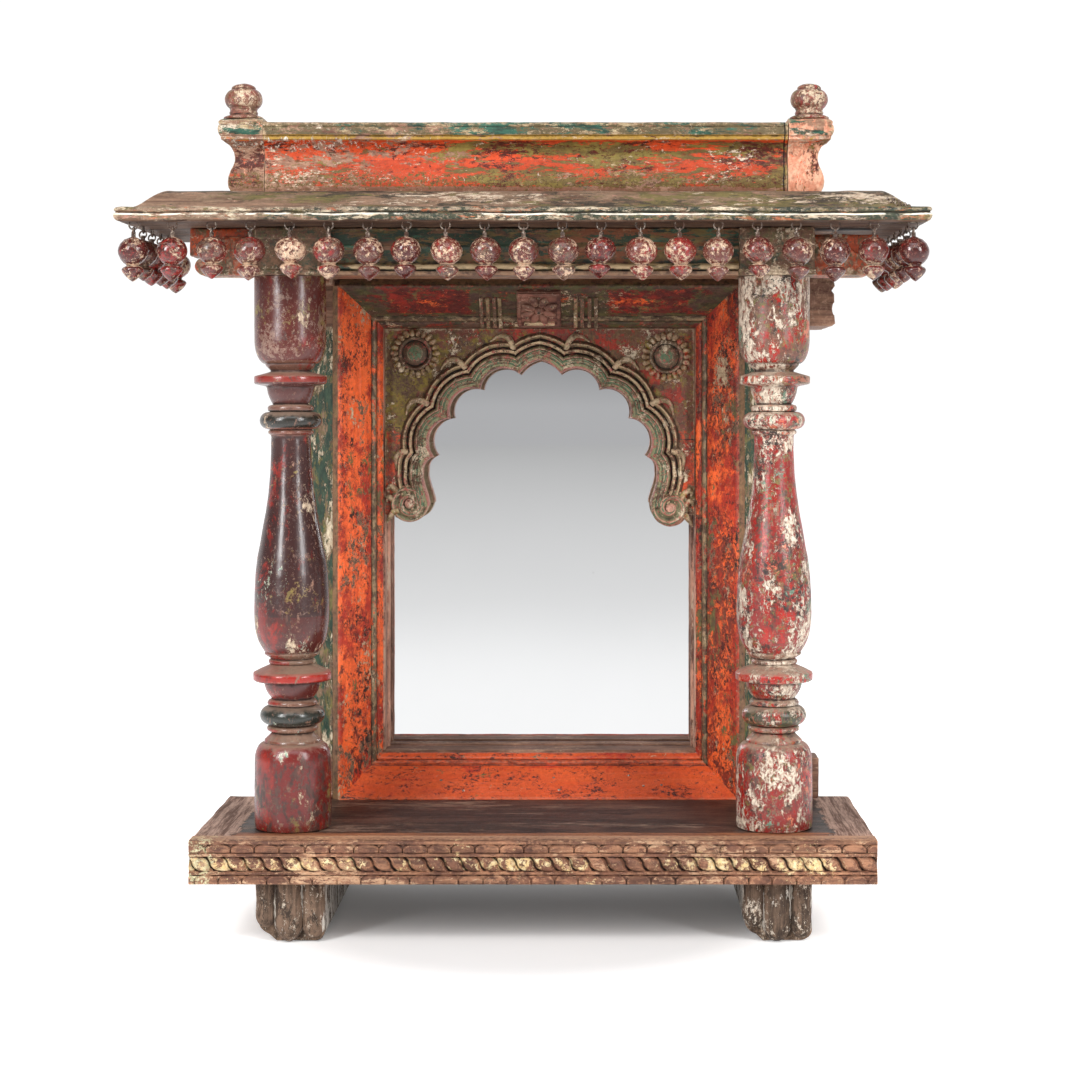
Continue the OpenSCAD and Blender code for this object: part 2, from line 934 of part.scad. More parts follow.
module finials() {
    color("goldenrod") roof() both_sides() finial();
}

// Drops: each hangs by its eye from a wire hook in the soffit of the eave
module wire_ring(r) {
    rotate([90, 0, 0]) rotate_extrude() translate([r, 0]) circle(wire_r);
}

module hook() {
    difference() {
        translate([0, 0, hinge_z + hook_r]) wire_ring(hook_r);
        translate([0, 0, soffit + hook_r]) cube([4 * hook_r, 4 * hook_r, 2 * hook_r], center = true);
    }
}

// Places along the front and along one side, and the turn of each row
function front_place(i) = [i * front_pitch - row_x, row_d, 0];
function side_place(side, i) = [side * row_x, row_d + (i + 1) * side_pitch, 0];

module drop_hooks() {
    color("dimgray") roof() {
        for (i = [0:front_drops - 1])
            translate(front_place(i)) hook();
        for (side = [-1, 1])
            for (i = [0:side_drops - 1])
                translate(side_place(side, i)) rotate(90) hook();
    }
}

module drop_profile() {
    waist_r = bud_r / 2;
    bud_widest = 0.4;
    bead_top = -bead_gap;
    bead_bottom = bead_top - bead_h;
    turned_ring(bead_bottom, bead_h, bead_r);
    polygon([
        [0, bead_bottom + cut],
        [waist_r, bead_bottom + cut],
        [waist_r, bead_bottom],
        [bud_r, bead_bottom - bud_h * bud_widest],
        [wire_r, bead_bottom - bud_h],
        [0, bead_bottom - bud_h]
    ]);
}

// One drop, hung on its hinge at the origin, for a row along the width
module drop() {
    color("indianred") translate([0, 0, hinge_z]) {
        rotate_extrude() drop_profile();
        translate([0, 0, -eye_drop]) rotate(90) wire_ring(eye_r);
    }
}

module front_drop(i) {
    roof() translate(front_place(i)) drop();
}

module side_drop(side, i) {
    roof() translate(side_place(side, i)) rotate(90) drop();
}

feet();
base_board();
base_front_rail();
left_column();
right_column();
frame_sill();
frame_head();
left_jamb();
right_jamb();
casing_left();
casing_right();
casing_top();
casing_bottom();
arch_left();
arch_right();
flower_panel();
mirror_glass();  // mirror
back_panel();
front_beam();
bracket_capitals();
side_beams();
back_beam();
eave_front();
eave_sides();
roof_deck();
parapet_rail();
parapet_blocks();
finials();
drop_hooks();
for (i = [0:front_drops - 1])
    front_drop(i);
for (i = [0:side_drops - 1]) {
    side_drop(-1, i);
    side_drop(1, i);
}
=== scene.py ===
import math
from statistics import NormalDist

import bmesh
import bpy
import numpy as np
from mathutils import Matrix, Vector


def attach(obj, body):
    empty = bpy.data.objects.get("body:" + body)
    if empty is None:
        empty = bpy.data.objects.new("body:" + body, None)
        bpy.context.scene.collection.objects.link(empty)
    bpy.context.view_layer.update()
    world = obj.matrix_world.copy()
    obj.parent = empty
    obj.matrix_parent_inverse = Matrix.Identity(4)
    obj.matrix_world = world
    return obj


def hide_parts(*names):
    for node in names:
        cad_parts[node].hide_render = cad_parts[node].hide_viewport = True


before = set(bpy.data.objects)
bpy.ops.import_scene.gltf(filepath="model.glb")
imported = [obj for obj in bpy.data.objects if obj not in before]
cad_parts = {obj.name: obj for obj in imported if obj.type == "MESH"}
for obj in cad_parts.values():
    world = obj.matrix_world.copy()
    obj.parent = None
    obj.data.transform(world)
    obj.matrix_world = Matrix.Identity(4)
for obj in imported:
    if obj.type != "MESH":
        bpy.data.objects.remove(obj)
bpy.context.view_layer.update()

# Lengths are in millimetres: x from the middle of the porch or roof, d behind the front of the base, z up.
# The frame's origin lies MID behind the front of the base. The porch stands PORCH to the right of it.
MM = 0.001
MID = 174.0
PORCH, ROOF = 10.0, 0.0
FOOT_TOP, BASE_TOP, BEAM_Z, SOFFIT, ROOF_TOP = 71.0, 120.0, 746.0, 800.0, 838.0
RAIL_TOP, BLOCK_TOP, FINIAL_TOP = 921.0, 926.0, 968.0
BASE_HALF, RAIL_BACK = 380.0, 27.9
OPEN_HALF, CASING_HALF, JAMB_HALF = 193.0, 243.0, 290.0
OPEN_Z, OPEN_TOP = 170.0, 696.0
FRAME_FRONT, FRAME_BACK, WALL_D = 250.0, 380.0, 268.0
CASING_FRONT, CASING_W = 241.0, 50.0
SPLAY = math.sqrt(0.5)
COL_X, COL_D = 272.5, 79.0
EAVE_HALF, EAVE_REACH = 445.0, 32.0
DECK_HALF, DECK_FRONT = 353.0, 60.0
ARCH_R, ARCH_Z, ARCH_FRONT, ARCH_BACK = 137.0, 505.0, 305.0, 329.0
CUSPS = (11, 33, 55, 77)
HINGE_Z, ROW_X, ROW_D, FRONT_PITCH, SIDE_PITCH = 792.5, 427.0, -14.0, 42.7, 48.0
FRONT_DROPS, SIDE_DROPS = 21, 5

scene = bpy.context.scene


# Shapes

def hashed(i, j, k, seed):
    """A number from 0 to 1 for each cell of a lattice."""
    mask = np.uint64(0xFFFFFFFF)
    n = (i.astype(np.uint64) * np.uint64(374761393) + j.astype(np.uint64) * np.uint64(668265263)
         + k.astype(np.uint64) * np.uint64(2246822519) + np.uint64(seed * 3266489917 % 4294967291)) & mask
    n = ((n ^ (n >> np.uint64(13))) * np.uint64(1274126177)) & mask
    n = n ^ (n >> np.uint64(16))
    return (n & np.uint64(0xFFFF)).astype(float) / 65535.0


def lumps(points, size, seed):
    """Smooth noise from -1 to 1 at each point, with lumps of about that size."""
    total, weight, p = 0.0, 1.0, points.reshape(-1, 3) / size + 1000.0
    for o in range(2):
        cell = np.floor(p).astype(np.int64)
        f = p - cell
        f = f * f * (3 - 2 * f)
        value = 0.0
        for dx in (0, 1):
            for dy in (0, 1):
                for dz in (0, 1):
                    w = ((f[:, 0] if dx else 1 - f[:, 0]) * (f[:, 1] if dy else 1 - f[:, 1])
                         * (f[:, 2] if dz else 1 - f[:, 2]))
                    value = value + w * hashed(cell[:, 0] + dx, cell[:, 1] + dy, cell[:, 2] + dz, seed + o)
        total = total + weight * (2 * value - 1)
        weight *= 0.5
        p = p * 2.03
    return (total / 1.5).reshape(points.shape[:-1])


def worn(points, amount, seed, size=14.0):
    """The points moved about a little, as hand work and wear leave them."""
    moves = [lumps(points, size, seed + 11 * a) for a in range(3)]
    return points + amount * np.stack(moves, -1)


def xyz(x, y, z):
    """Points from their coordinates, each of them an array or one number."""
    return np.stack(np.broadcast_arrays(x, y, z), -1)


def grid(nu, nv, wrap_u=False, wrap_v=False):
    """The faces of a grid of points, as numbers of their corners."""
    u, v = np.meshgrid(np.arange(nu if wrap_u else nu - 1), np.arange(nv if wrap_v else nv - 1), indexing="ij")
    u1, v1 = (u + 1) % nu, (v + 1) % nv
    return np.stack([u * nv + v, u1 * nv + v, u1 * nv + v1, u * nv + v1], -1).reshape(-1, 4)


class Shape:
    """Closed shells that become one mesh."""

    def __init__(self):
        self.points, self.bands, self.faces, self.mats, self.count = [], [], [], [], 0

    def add(self, points, faces, band=0.0, mat=0):
        points = np.asarray(points, float).reshape(-1, 3)
        self.points.append(points)
        self.bands.append(np.broadcast_to(np.asarray(band, float).reshape(-1), (len(points),)))
        for f in faces:
            self.faces.append(np.asarray(f) + self.count)
            self.mats.append(np.full(len(f), mat))
        self.count += len(points)

    def sweep(self, loops, band=0.0, mat=0):
        """Closed loops joined one after the other, with a flat face on each end."""
        n, m, _ = loops.shape
        ends = [np.arange(m)[None, ::-1], (n - 1) * m + np.arange(m)[None, :]]
        self.add(loops, [grid(n, m, wrap_v=True)] + ends, band, mat)

    def lathe(self, profile, centre, segs=72, wear=0.3, seed=0, band=None, mat=0, size=14.0):
        profile = np.asarray(profile, float)
        a = np.linspace(0, 2 * math.pi, segs, endpoint=False)
        r, z = profile[:, 0:1], profile[:, 1:2]
        loops = xyz(r * np.cos(a), r * np.sin(a), z) + np.asarray(centre, float)
        loops = worn(loops, wear, seed, size)
        self.sweep(loops, 0.0 if band is None else np.repeat(band, segs), mat)

    def tube(self, path, radius, segs=8, mat=0, closed=False, band=0.0):
        path = np.asarray(path, float)
        tangent = np.gradient(path, axis=0)
        if closed:
            tangent = np.roll(path, -1, 0) - np.roll(path, 1, 0)
        tangent /= np.linalg.norm(tangent, axis=1, keepdims=True)
        side = np.cross(tangent, [0.31, 0.22, 0.92])
        side /= np.linalg.norm(side, axis=1, keepdims=True)
        up = np.cross(side, tangent)
        a = np.linspace(0, 2 * math.pi, segs, endpoint=False)
        r = np.broadcast_to(np.asarray(radius, float).reshape(-1, 1, 1), (len(path), 1, 1))
        loops = path[:, None] + r * (side[:, None] * np.cos(a)[:, None] + up[:, None] * np.sin(a)[:, None])
        if closed:
            self.add(loops, [grid(len(path), segs, wrap_u=True, wrap_v=True)], band, mat)
        else:
            self.sweep(loops, band, mat)

    def board(self, low, high, r=2.5, step=14.0, wear=0.6, seed=0, band=0.0, mat=0, place=None):
        """A board with worn round edges, more worn in some places than in others."""
        low, high = np.asarray(low, float), np.asarray(high, float)
        r = min(r, 0.4 * float((high - low).min()))
        lines = []
        for a in range(3):
            n = max(2, int(math.ceil((high[a] - low[a] - 2 * r) / step)))
            edge = np.array([0.0, 0.12, 0.4, 1.0]) * r
            middle = np.linspace(low[a] + r, high[a] - r, n + 1)[1:-1]
            lines.append(np.concatenate([low[a] + edge, middle, (high[a] - edge)[::-1]]))
        shape = tuple(len(c) for c in lines)
        index = -np.ones(shape, int)
        edge = np.zeros(shape, bool)
        for a in range(3):
            at = [slice(None)] * 3
            for end in (0, -1):
                at[a] = end
                edge[tuple(at)] = True
        index[edge] = np.arange(edge.sum())
        p = np.stack(np.meshgrid(*lines, indexing="ij"), -1)[edge]
        local = r * np.clip(0.75 + 0.9 * lumps(p, 35.0, seed + 5), 0.15, 1.0)[:, None]
        inner = np.clip(p, low + local, high - local)
        away = p - inner
        p = inner + local * away / np.maximum(np.linalg.norm(away, axis=1, keepdims=True), 1e-9)
        p = worn(p, wear, seed, 22.0)
        faces = []
        for a in range(3):
            for end in (0, -1):
                at = [slice(None)] * 3
                at[a] = end
                ids = index[tuple(at)]
                faces.append(ids.reshape(-1)[grid(*ids.shape)])
        self.add(p if place is None else place(p), faces, band, mat)


def resampled(profile, step):
    """A line with points no further apart than step."""
    profile = np.asarray(profile, float)
    out = [profile[0]]
    for a, b in zip(profile[:-1], profile[1:]):
        n = max(1, int(math.ceil(np.linalg.norm(b - a) / step)))
        out += [a + (b - a) * (i + 1) / n for i in range(n)]
    return np.array(out)


def arc(cx, cy, rx, ry, start, end, n=8):
    a = np.radians(np.linspace(start, end, n + 1))
    return [(cx + rx * math.cos(t), cy + ry * math.sin(t)) for t in a]


def ball(step):
    """The outline of a ball of radius 1 from its foot to its top, with a point every so many degrees."""
    turns = [math.radians(t) for t in range(-5 * step, 5 * step + 1, step)]
    return [(0.2, -1.0)] + [(math.cos(t), math.sin(t)) for t in turns] + [(0.2, 1.0)]


def turned(outline, segs, sizes):
    """A small turned solid at the origin, stretched: its points and its faces."""
    shape = Shape()
    shape.lathe(outline, (0, 0, 0), segs, 0.0)
    return np.concatenate(shape.points) * sizes, shape.faces


def run_through(line, depths, inset, middle, squeeze):
    """An outline in x and z run through some depths, drawn in towards its middle where there is an inset."""
    across, up = (line - middle).T
    return np.stack([xyz(across * (1 - i / squeeze[0]) + middle[0], d, up * (1 - i / squeeze[1]) + middle[1])
                     for d, i in zip(depths, inset)])


def make(name, shape, materials, replaces=(), body="shrine", shift=PORCH, sharp=42):
    points = (np.concatenate(shape.points) + [shift, -MID, 0.0]) * MM
    sizes = np.concatenate([np.full(len(f), f.shape[1]) for f in shape.faces])
    corners = np.concatenate([f.ravel() for f in shape.faces])
    mesh = bpy.data.meshes.new(name)
    mesh.vertices.add(len(points))
    mesh.vertices.foreach_set("co", points.astype(np.float32).ravel())
    mesh.loops.add(len(corners))
    mesh.loops.foreach_set("vertex_index", corners.astype(np.int32))
    mesh.polygons.add(len(sizes))
    mesh.polygons.foreach_set("loop_start", np.concatenate([[0], np.cumsum(sizes)[:-1]]).astype(np.int32))
    mesh.polygons.foreach_set("material_index", np.concatenate(shape.mats).astype(np.int32))
    mesh.update(calc_edges=True)
    bm = bmesh.new()
    bm.from_mesh(mesh)
    bmesh.ops.recalc_face_normals(bm, faces=bm.faces)
    bm.to_mesh(mesh)
    bm.free()
    band = mesh.attributes.new("band", "FLOAT", "POINT")
    band.data.foreach_set("value", np.concatenate(shape.bands).astype(np.float32))
    mesh.shade_smooth()
    mesh.set_sharp_from_angle(angle=math.radians(sharp))
    for m in materials if isinstance(materials, (list, tuple)) else [materials]:
        mesh.materials.append(m)
    obj = bpy.data.objects.new(name, mesh)
    scene.collection.objects.link(obj)
    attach(obj, body)
    if replaces:
        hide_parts(*replaces)


# Materials

def rgb(r, g, b):
    """A colour given in screen values from 0 to 255."""
    return tuple(c / 12.92 if c <= 0.04045 else ((c + 0.055) / 1.055) ** 2.4 for c in (r / 255, g / 255,
                                                                                       b / 255)) + (1.0,)


ORANGE = rgb(242, 105, 48)
BLACK, WHITE = (0, 0, 0, 1), (1, 1, 1, 1)
# How far noise spreads about its mean: one octave of a coat's patches, and the wide noise that gathers them
NOISE_SPREAD, GATHER_SPREAD = 0.143, 0.094
RIM_WIDTH = 0.014


class Paint:
    """A material built up in layers: bare wood first, then coats of paint that have partly flaked off."""

    def __init__(self, name):
        self.mat = bpy.data.materials.new(name)
        self.mat.use_nodes = True
        self.tree = self.mat.node_tree
        self.tree.nodes.clear()
        self.place = self.node("ShaderNodeTexCoord").outputs["Object"]
        self.geometry = self.node("ShaderNodeNewGeometry")
        self.split = self.node("ShaderNodeSeparateXYZ")
        self.put(self.split.inputs[0], self.place)
        self.seed = sum(ord(c) for c in name)

    def node(self, kind, **props):
        n = self.tree.nodes.new(kind)
        for key, value in props.items():
            setattr(n, key, value)
        return n

    def put(self, socket, value):
        if isinstance(value, bpy.types.NodeSocket):
            self.tree.links.new(value, socket)
        else:
            socket.default_value = value

    def math(self, op, a, b=0.0):
        n = self.node("ShaderNodeMath", operation=op)
        self.put(n.inputs[0], a)
        self.put(n.inputs[1], b)
        return n.outputs[0]

    def scaled(self, value, by, plus=0.0):
        return self.math("ADD", self.math("MULTIPLY", value, by), plus)

    def mix(self, share, a, b):
        n = self.node("ShaderNodeMix", data_type="RGBA", clamp_factor=True)
        self.put(n.inputs[0], share)
        self.put(n.inputs[6], a)
        self.put(n.inputs[7], b)
        return n.outputs[2]

    def blend(self, share, a, b):
        n = self.node("ShaderNodeMix", data_type="FLOAT", clamp_factor=True)
        self.put(n.inputs[0], share)
        self.put(n.inputs[2], a)
        self.put(n.inputs[3], b)
        return n.outputs[0]

    def noise(self, size, detail=5.0, rough=0.6, warp=0.0, stretch=(1, 1, 1)):
        """Noise with features of about that size in millimetres."""
        self.seed += 1
        m = self.node("ShaderNodeMapping")
        self.put(m.inputs["Vector"], self.place)
        m.inputs["Scale"].default_value = stretch
        m.inputs["Location"].default_value = (self.seed * 0.37 % 5, self.seed * 0.73 % 5, self.seed * 0.19 % 5)
        n = self.node("ShaderNodeTexNoise")
        self.put(n.inputs["Vector"], m.outputs[0])
        n.inputs["Scale"].default_value = 1000.0 / size
        n.inputs["Detail"].default_value = detail
        n.inputs["Roughness"].default_value = rough
        n.inputs["Distortion"].default_value = warp
        return n.outputs["Fac"]

    def step(self, value, at, soft):
        """0 under a value and 1 over it, with a soft change."""
        n = self.node("ShaderNodeMapRange", interpolation_type="SMOOTHSTEP")
        self.put(n.inputs["Value"], value)
        n.inputs["From Min"].default_value = at - soft
        n.inputs["From Max"].default_value = at + soft
        return n.outputs[0]

    def below(self, value, at, soft):
        """1 under a value and 0 over it."""
        return self.math("SUBTRACT", 1.0, self.step(value, at, soft))

    def within(self, value, low, high, soft):
        """1 between two values and 0 outside them."""
        return self.math("SUBTRACT", self.step(value, low, soft), self.step(value, high, soft))

    def axis(self, which):
        return self.split.outputs["XYZ".index(which)]

    def facing(self, which):
        """How far the surface faces along an axis, from -1 to 1."""
        n = self.node("ShaderNodeSeparateXYZ")
        self.put(n.inputs[0], self.geometry.outputs["Normal"])
        return n.outputs["XYZ".index(which)]

    def band(self):
        return self.node("ShaderNodeAttribute", attribute_name="band").outputs["Fac"]

    def ramp(self, value, stops, low=0.0, high=1.0):
        """A colour for each stretch of a value: stops are (start, colour)."""
        m = self.node("ShaderNodeMapRange")
        self.put(m.inputs["Value"], value)
        m.inputs["From Min"].default_value = low
        m.inputs["From Max"].default_value = high
        n = self.node("ShaderNodeValToRGB")
        n.color_ramp.interpolation = "CONSTANT"
        marks = n.color_ramp.elements
        while len(marks) > 1:
            marks.remove(marks[-1])
        for i, (start, colour) in enumerate(stops):
            spot = min(1.0, max(0.0, (start - low) / (high - low)))
            mark = marks[0] if i == 0 else marks.new(spot)
            mark.position = spot
            mark.color = colour
        self.put(n.inputs[0], m.outputs[0])
        return n.outputs[0]

    def wood(self, light, dark, along="X", rough=0.75, bump=0.0009):
        stretch = tuple(0.05 if c == along else 1.0 for c in "XYZ")
        fibre = self.noise(7.0, 6, 0.7, 0.4, stretch)
        stain = self.noise(90.0, 5, 0.65)
        share = self.step(self.math("ADD", self.math("MULTIPLY", fibre, 0.7), self.math("MULTIPLY", stain, 0.5)), 0.6,
                          0.11)
        self.colour = self.mix(share, dark, light)
        self.rough = rough
        self.height = self.math("MULTIPLY", fibre, bump)
        return self

    def coat(self, colour, cover, size=30.0, other=None, rim=None, stretch=(1, 1, 1), rough=0.5, lift=0.0, soft=0.012,
             bias=None, warp=0.3, grit=0.82, gather=0.0):
        """A coat that still covers that share of the surface, in patches of about that size."""
        patch = self.noise(size, 6.0, grit, warp, stretch)
        if bias is not None:
            patch = self.math("ADD", patch, bias)
        octaves = [grit ** k for k in range(7)]
        spread = NOISE_SPREAD * math.hypot(*octaves) / sum(octaves)
        if gather:
            patch = self.math("ADD", patch, self.scaled(self.noise(size * 6.0, 2, 0.5, 0.0, stretch), gather,
                                                        -0.5 * gather))
            spread = math.hypot(spread, GATHER_SPREAD * gather)
        at = 0.5 + spread * NormalDist().inv_cdf(1 - cover)
        if rim is not None:
            self.colour = self.mix(self.step(patch, at - RIM_WIDTH, soft), self.colour, rim)
        if other is not None:
            colour = self.mix(self.step(self.noise(size * 0.5, 3, 0.75, 0.0, stretch), 0.5, 0.1), colour, other)
        mask = self.step(patch, at, soft)
        self.colour = self.mix(mask, self.colour, colour)
        self.rough = self.blend(mask, self.rough, rough)
        if lift:
            self.height = self.math("ADD", self.height, self.math("MULTIPLY", mask, lift * MM))

    def edges(self, colour, strength=0.8, at=0.56, soft=0.03):
        """Bare or dusty edges where the paint has rubbed off."""
        point = self.geometry.outputs["Pointiness"]
        ragged = self.math("ADD", point, self.scaled(self.noise(6.0, 5, 0.75), 0.3, -0.15))
        self.colour = self.mix(self.scaled(self.step(ragged, at, soft), strength), self.colour, colour)

    def hollow_grime_and_shade(self, colour=rgb(46, 33, 26), strength=0.7, at=0.462, soft=0.03):
        """Grime in the hollows, and painted shade there: the colour darkens where the surface is hollow."""
        point = self.geometry.outputs["Pointiness"]
        ragged = self.math("ADD", point, self.scaled(self.noise(9.0, 4, 0.6), 0.16, -0.08))
        mask = self.math("MULTIPLY", self.below(ragged, at, soft), strength)
        self.colour = self.mix(mask, self.colour, colour)
        self.rough = self.blend(mask, self.rough, 0.85)

    def dust(self, colour=rgb(158, 136, 118), strength=0.6):
        """Dust on what faces up, and a painted sheen there: what faces up is made lighter."""
        lie = self.math("ADD", self.facing("Z"), self.scaled(self.noise(14.0, 5, 0.7), 1.4, -0.7))
        mask = self.math("MULTIPLY", self.step(lie, 0.62, 0.22), strength)
        self.colour = self.mix(mask, self.colour, colour)
        self.rough = self.blend(mask, self.rough, 0.8)

    def tone(self, coarse=0.9, fine=0.7):
        """Slow and quick changes of tone over the whole surface."""
        slow = self.scaled(self.noise(110.0, 4, 0.6), coarse, -0.5 * coarse)
        quick = self.scaled(self.noise(5.0, 4, 0.75), fine, -0.5 * fine)
        n = self.node("ShaderNodeHueSaturation")
        self.put(n.inputs["Color"], self.colour)
        self.put(n.inputs["Value"], self.math("ADD", self.math("ADD", slow, quick), 1.0))
        self.colour = n.outputs[0]

    def done(self, specular=0.4, grit=0.0006):
        shader = self.node("ShaderNodeBsdfPrincipled")
        self.put(shader.inputs["Base Color"], self.colour)
        self.put(shader.inputs["Roughness"], self.rough)
        shader.inputs["Specular IOR Level"].default_value = specular
        b = self.node("ShaderNodeBump")
        b.inputs["Strength"].default_value = 1.0
        b.inputs["Distance"].default_value = 1.0
        self.put(b.inputs["Height"], self.math("ADD", self.height,
                                               self.math("MULTIPLY", self.noise(4.0, 4, 0.65), grit)))
        self.tree.links.new(b.outputs[0], shader.inputs["Normal"])
        self.finish(shader)
        return self.mat

    def finish(self, shader):
        out = self.node("ShaderNodeOutputMaterial")
        self.tree.links.new(shader.outputs[0], out.inputs["Surface"])


def from_middle(p):
    """Distance from the porch's middle in metres."""
    return p.math("ABSOLUTE", p.math("SUBTRACT", p.axis("X"), PORCH * MM))


def base_wood():
    p = Paint("base_top_wood").wood(rgb(84, 60, 49), rgb(36, 26, 22), "X", 0.45)
    p.coat(rgb(34, 26, 23), 0.4, 50, rgb(52, 40, 34), None, (0.2, 1, 1), 0.5, 0, 0.04)
    p.coat(rgb(116, 92, 78), 0.09, 6, rgb(134, 110, 94), None, (0.15, 1, 1), 0.6, gather=0.6)
    lip = p.below(p.scaled(p.axis("Y"), 1.0, MID * MM), 0.044, 0.004)
    p.coat(rgb(146, 94, 64), 0.5, 16, rgb(116, 72, 52), None, (0.15, 1, 1), 0.6, bias=p.scaled(lip, 0.3, -0.17))
    ragged = p.math("ADD", from_middle(p), p.scaled(p.noise(30.0, 7, 0.8), 0.05, -0.025))
    ends = p.step(ragged, 0.334, 0.0015)
    grain = p.noise(6, 6, 0.75, 0.2, (1, 0.06, 1))
    p.colour = p.mix(ends, p.colour, p.mix(p.step(grain, 0.5, 0.1), rgb(104, 76, 64), rgb(182, 152, 136)))
    p.rough = p.blend(ends, p.rough, 0.8)
    # A thin dark line along the boundary of the lighter ends: painted shade of a low step there, which the flat board
    # does not have.
    p.colour = p.mix(p.scaled(p.within(ragged, 0.332, 0.3352, 0.0008), 0.8), p.colour, rgb(32, 22, 18))
    p.edges(rgb(168, 122, 94), 0.7)
    p.tone(1.0, 1.2)
    return p.done(0.22)


def rail_wood():
    p = Paint("rail_carved_wood").wood(rgb(158, 112, 84), rgb(84, 54, 41), "X", 0.6)
    p.coat(rgb(88, 56, 43), 0.46, 16, rgb(118, 78, 59), None, (0.5, 1, 1), 0.55, soft=0.03)
    p.coat(rgb(182, 148, 118), 0.12, 5, rgb(166, 126, 98), None, (0.4, 1, 1), 0.65, gather=0.7)
    rope = p.within(p.axis("Z"), 0.0865, 0.1005, 0.001)
    left = p.step(p.scaled(p.axis("X"), -1.0), 0.18, 0.12)
    p.coat(rgb(214, 182, 128), 0.34, 9, rgb(222, 202, 160), rgb(160, 120, 86), rough=0.65, lift=0.3, gather=0.5,
           bias=p.scaled(p.math("MULTIPLY", rope, p.scaled(left, 0.45, 0.8)), 0.13, -0.13))
    end = p.step(p.scaled(p.axis("X"), -1.0), 0.338, 0.012)
    p.coat(rgb(206, 200, 164), 0.3, 9, rgb(182, 174, 136), rgb(150, 124, 96), rough=0.7,
           bias=p.scaled(end, 0.16, -0.16))
    p.edges(rgb(196, 150, 116), 0.6)
    p.hollow_grime_and_shade(rgb(36, 22, 17), 0.95)
    p.tone(0.8, 0.8)
    return p.done(0.35)


def foot_wood():
    p = Paint("foot_grey_wood").wood(rgb(116, 94, 78), rgb(54, 43, 36), "Z", 0.8)
    p.coat(rgb(74, 60, 50), 0.4, 20, rgb(54, 44, 37), None, (1, 1, 0.4), 0.8, soft=0.03)
    p.coat(rgb(200, 188, 172), 0.08, 4, rgb(164, 150, 134), None, (1, 1, 0.6), 0.85, gather=0.5)
    flank = p.step(p.math("ABSOLUTE", p.facing("X")), 0.85, 0.05)
    p.coat(rgb(206, 200, 190), 0.55, 20, rgb(150, 140, 130), None, (1, 1, 0.4), 0.85,
           bias=p.scaled(flank, 0.15, -0.14))
    p.edges(rgb(160, 132, 108), 0.5)
    p.hollow_grime_and_shade(rgb(28, 22, 18), 0.95)
    p.tone()
    return p.done(0.25)


def brown_wood(name, along, light=rgb(146, 108, 86), dark=rgb(80, 54, 42)):
    long = (0.3, 1, 1) if along == "X" else (1, 1, 0.3)
    p = Paint(name).wood(light, dark, along, 0.65)
    p.coat(rgb(96, 64, 52), 0.3, 40, rgb(118, 84, 68), None, long, 0.55, soft=0.04)
    p.coat(rgb(186, 160, 138), 0.06, 5, None, None, long, rough=0.75, gather=0.8)
    p.edges(rgb(172, 136, 112), 0.55)
    p.hollow_grime_and_shade()
    p.tone()
    return p.done(0.35)


def olive_board():
    p = Paint("olive_board_paint").wood(rgb(112, 84, 64), rgb(62, 44, 34), "X", 0.7)
    p.coat(rgb(100, 92, 50), 0.55, 18, rgb(78, 70, 44), None, (0.3, 1, 1), 0.55)
    p.coat(rgb(108, 40, 28), 0.2, 16, rgb(84, 52, 40), None, (0.4, 1, 1), 0.55)
    p.edges(rgb(164, 134, 104), 0.6)
    p.hollow_grime_and_shade()
    p.tone()
    return p.done(0.35)


LEFT_BANDS = [
    (0.120, rgb(104, 32, 28)), (0.213, rgb(112, 80, 64)), (0.232, rgb(122, 88, 70)), (0.2365, rgb(42, 44, 38)),
    (0.2585, rgb(112, 76, 60)), (0.266, rgb(88, 38, 34)), (0.287, rgb(156, 40, 30)), (0.2972, rgb(118, 90, 74)),
    (0.319, rgb(78, 36, 32)), (0.36, rgb(58, 33, 31)), (0.564, rgb(112, 68, 56)), (0.5725, rgb(40, 38, 33)),
    (0.5925, rgb(112, 78, 66)), (0.60, rgb(84, 46, 43)), (0.6238, rgb(126, 44, 36)), (0.634, rgb(104, 72, 60)),
    (0.650, rgb(84, 34, 28))]
RIGHT_BANDS = [
    (0.120, rgb(132, 38, 34)), (0.213, rgb(134, 100, 82)), (0.2365, rgb(58, 66, 46)), (0.2585, rgb(146, 104, 84)),
    (0.266, rgb(132, 58, 48)), (0.287, rgb(160, 52, 42)), (0.2972, rgb(140, 106, 88)), (0.319, rgb(138, 38, 34)),
    (0.564, rgb(130, 84, 70)), (0.5725, rgb(156, 46, 48)), (0.5925, rgb(140, 100, 80)), (0.60, rgb(124, 90, 66)),
    (0.6238, rgb(160, 100, 78)), (0.634, rgb(128, 90, 74)), (0.650, rgb(112, 70, 56))]


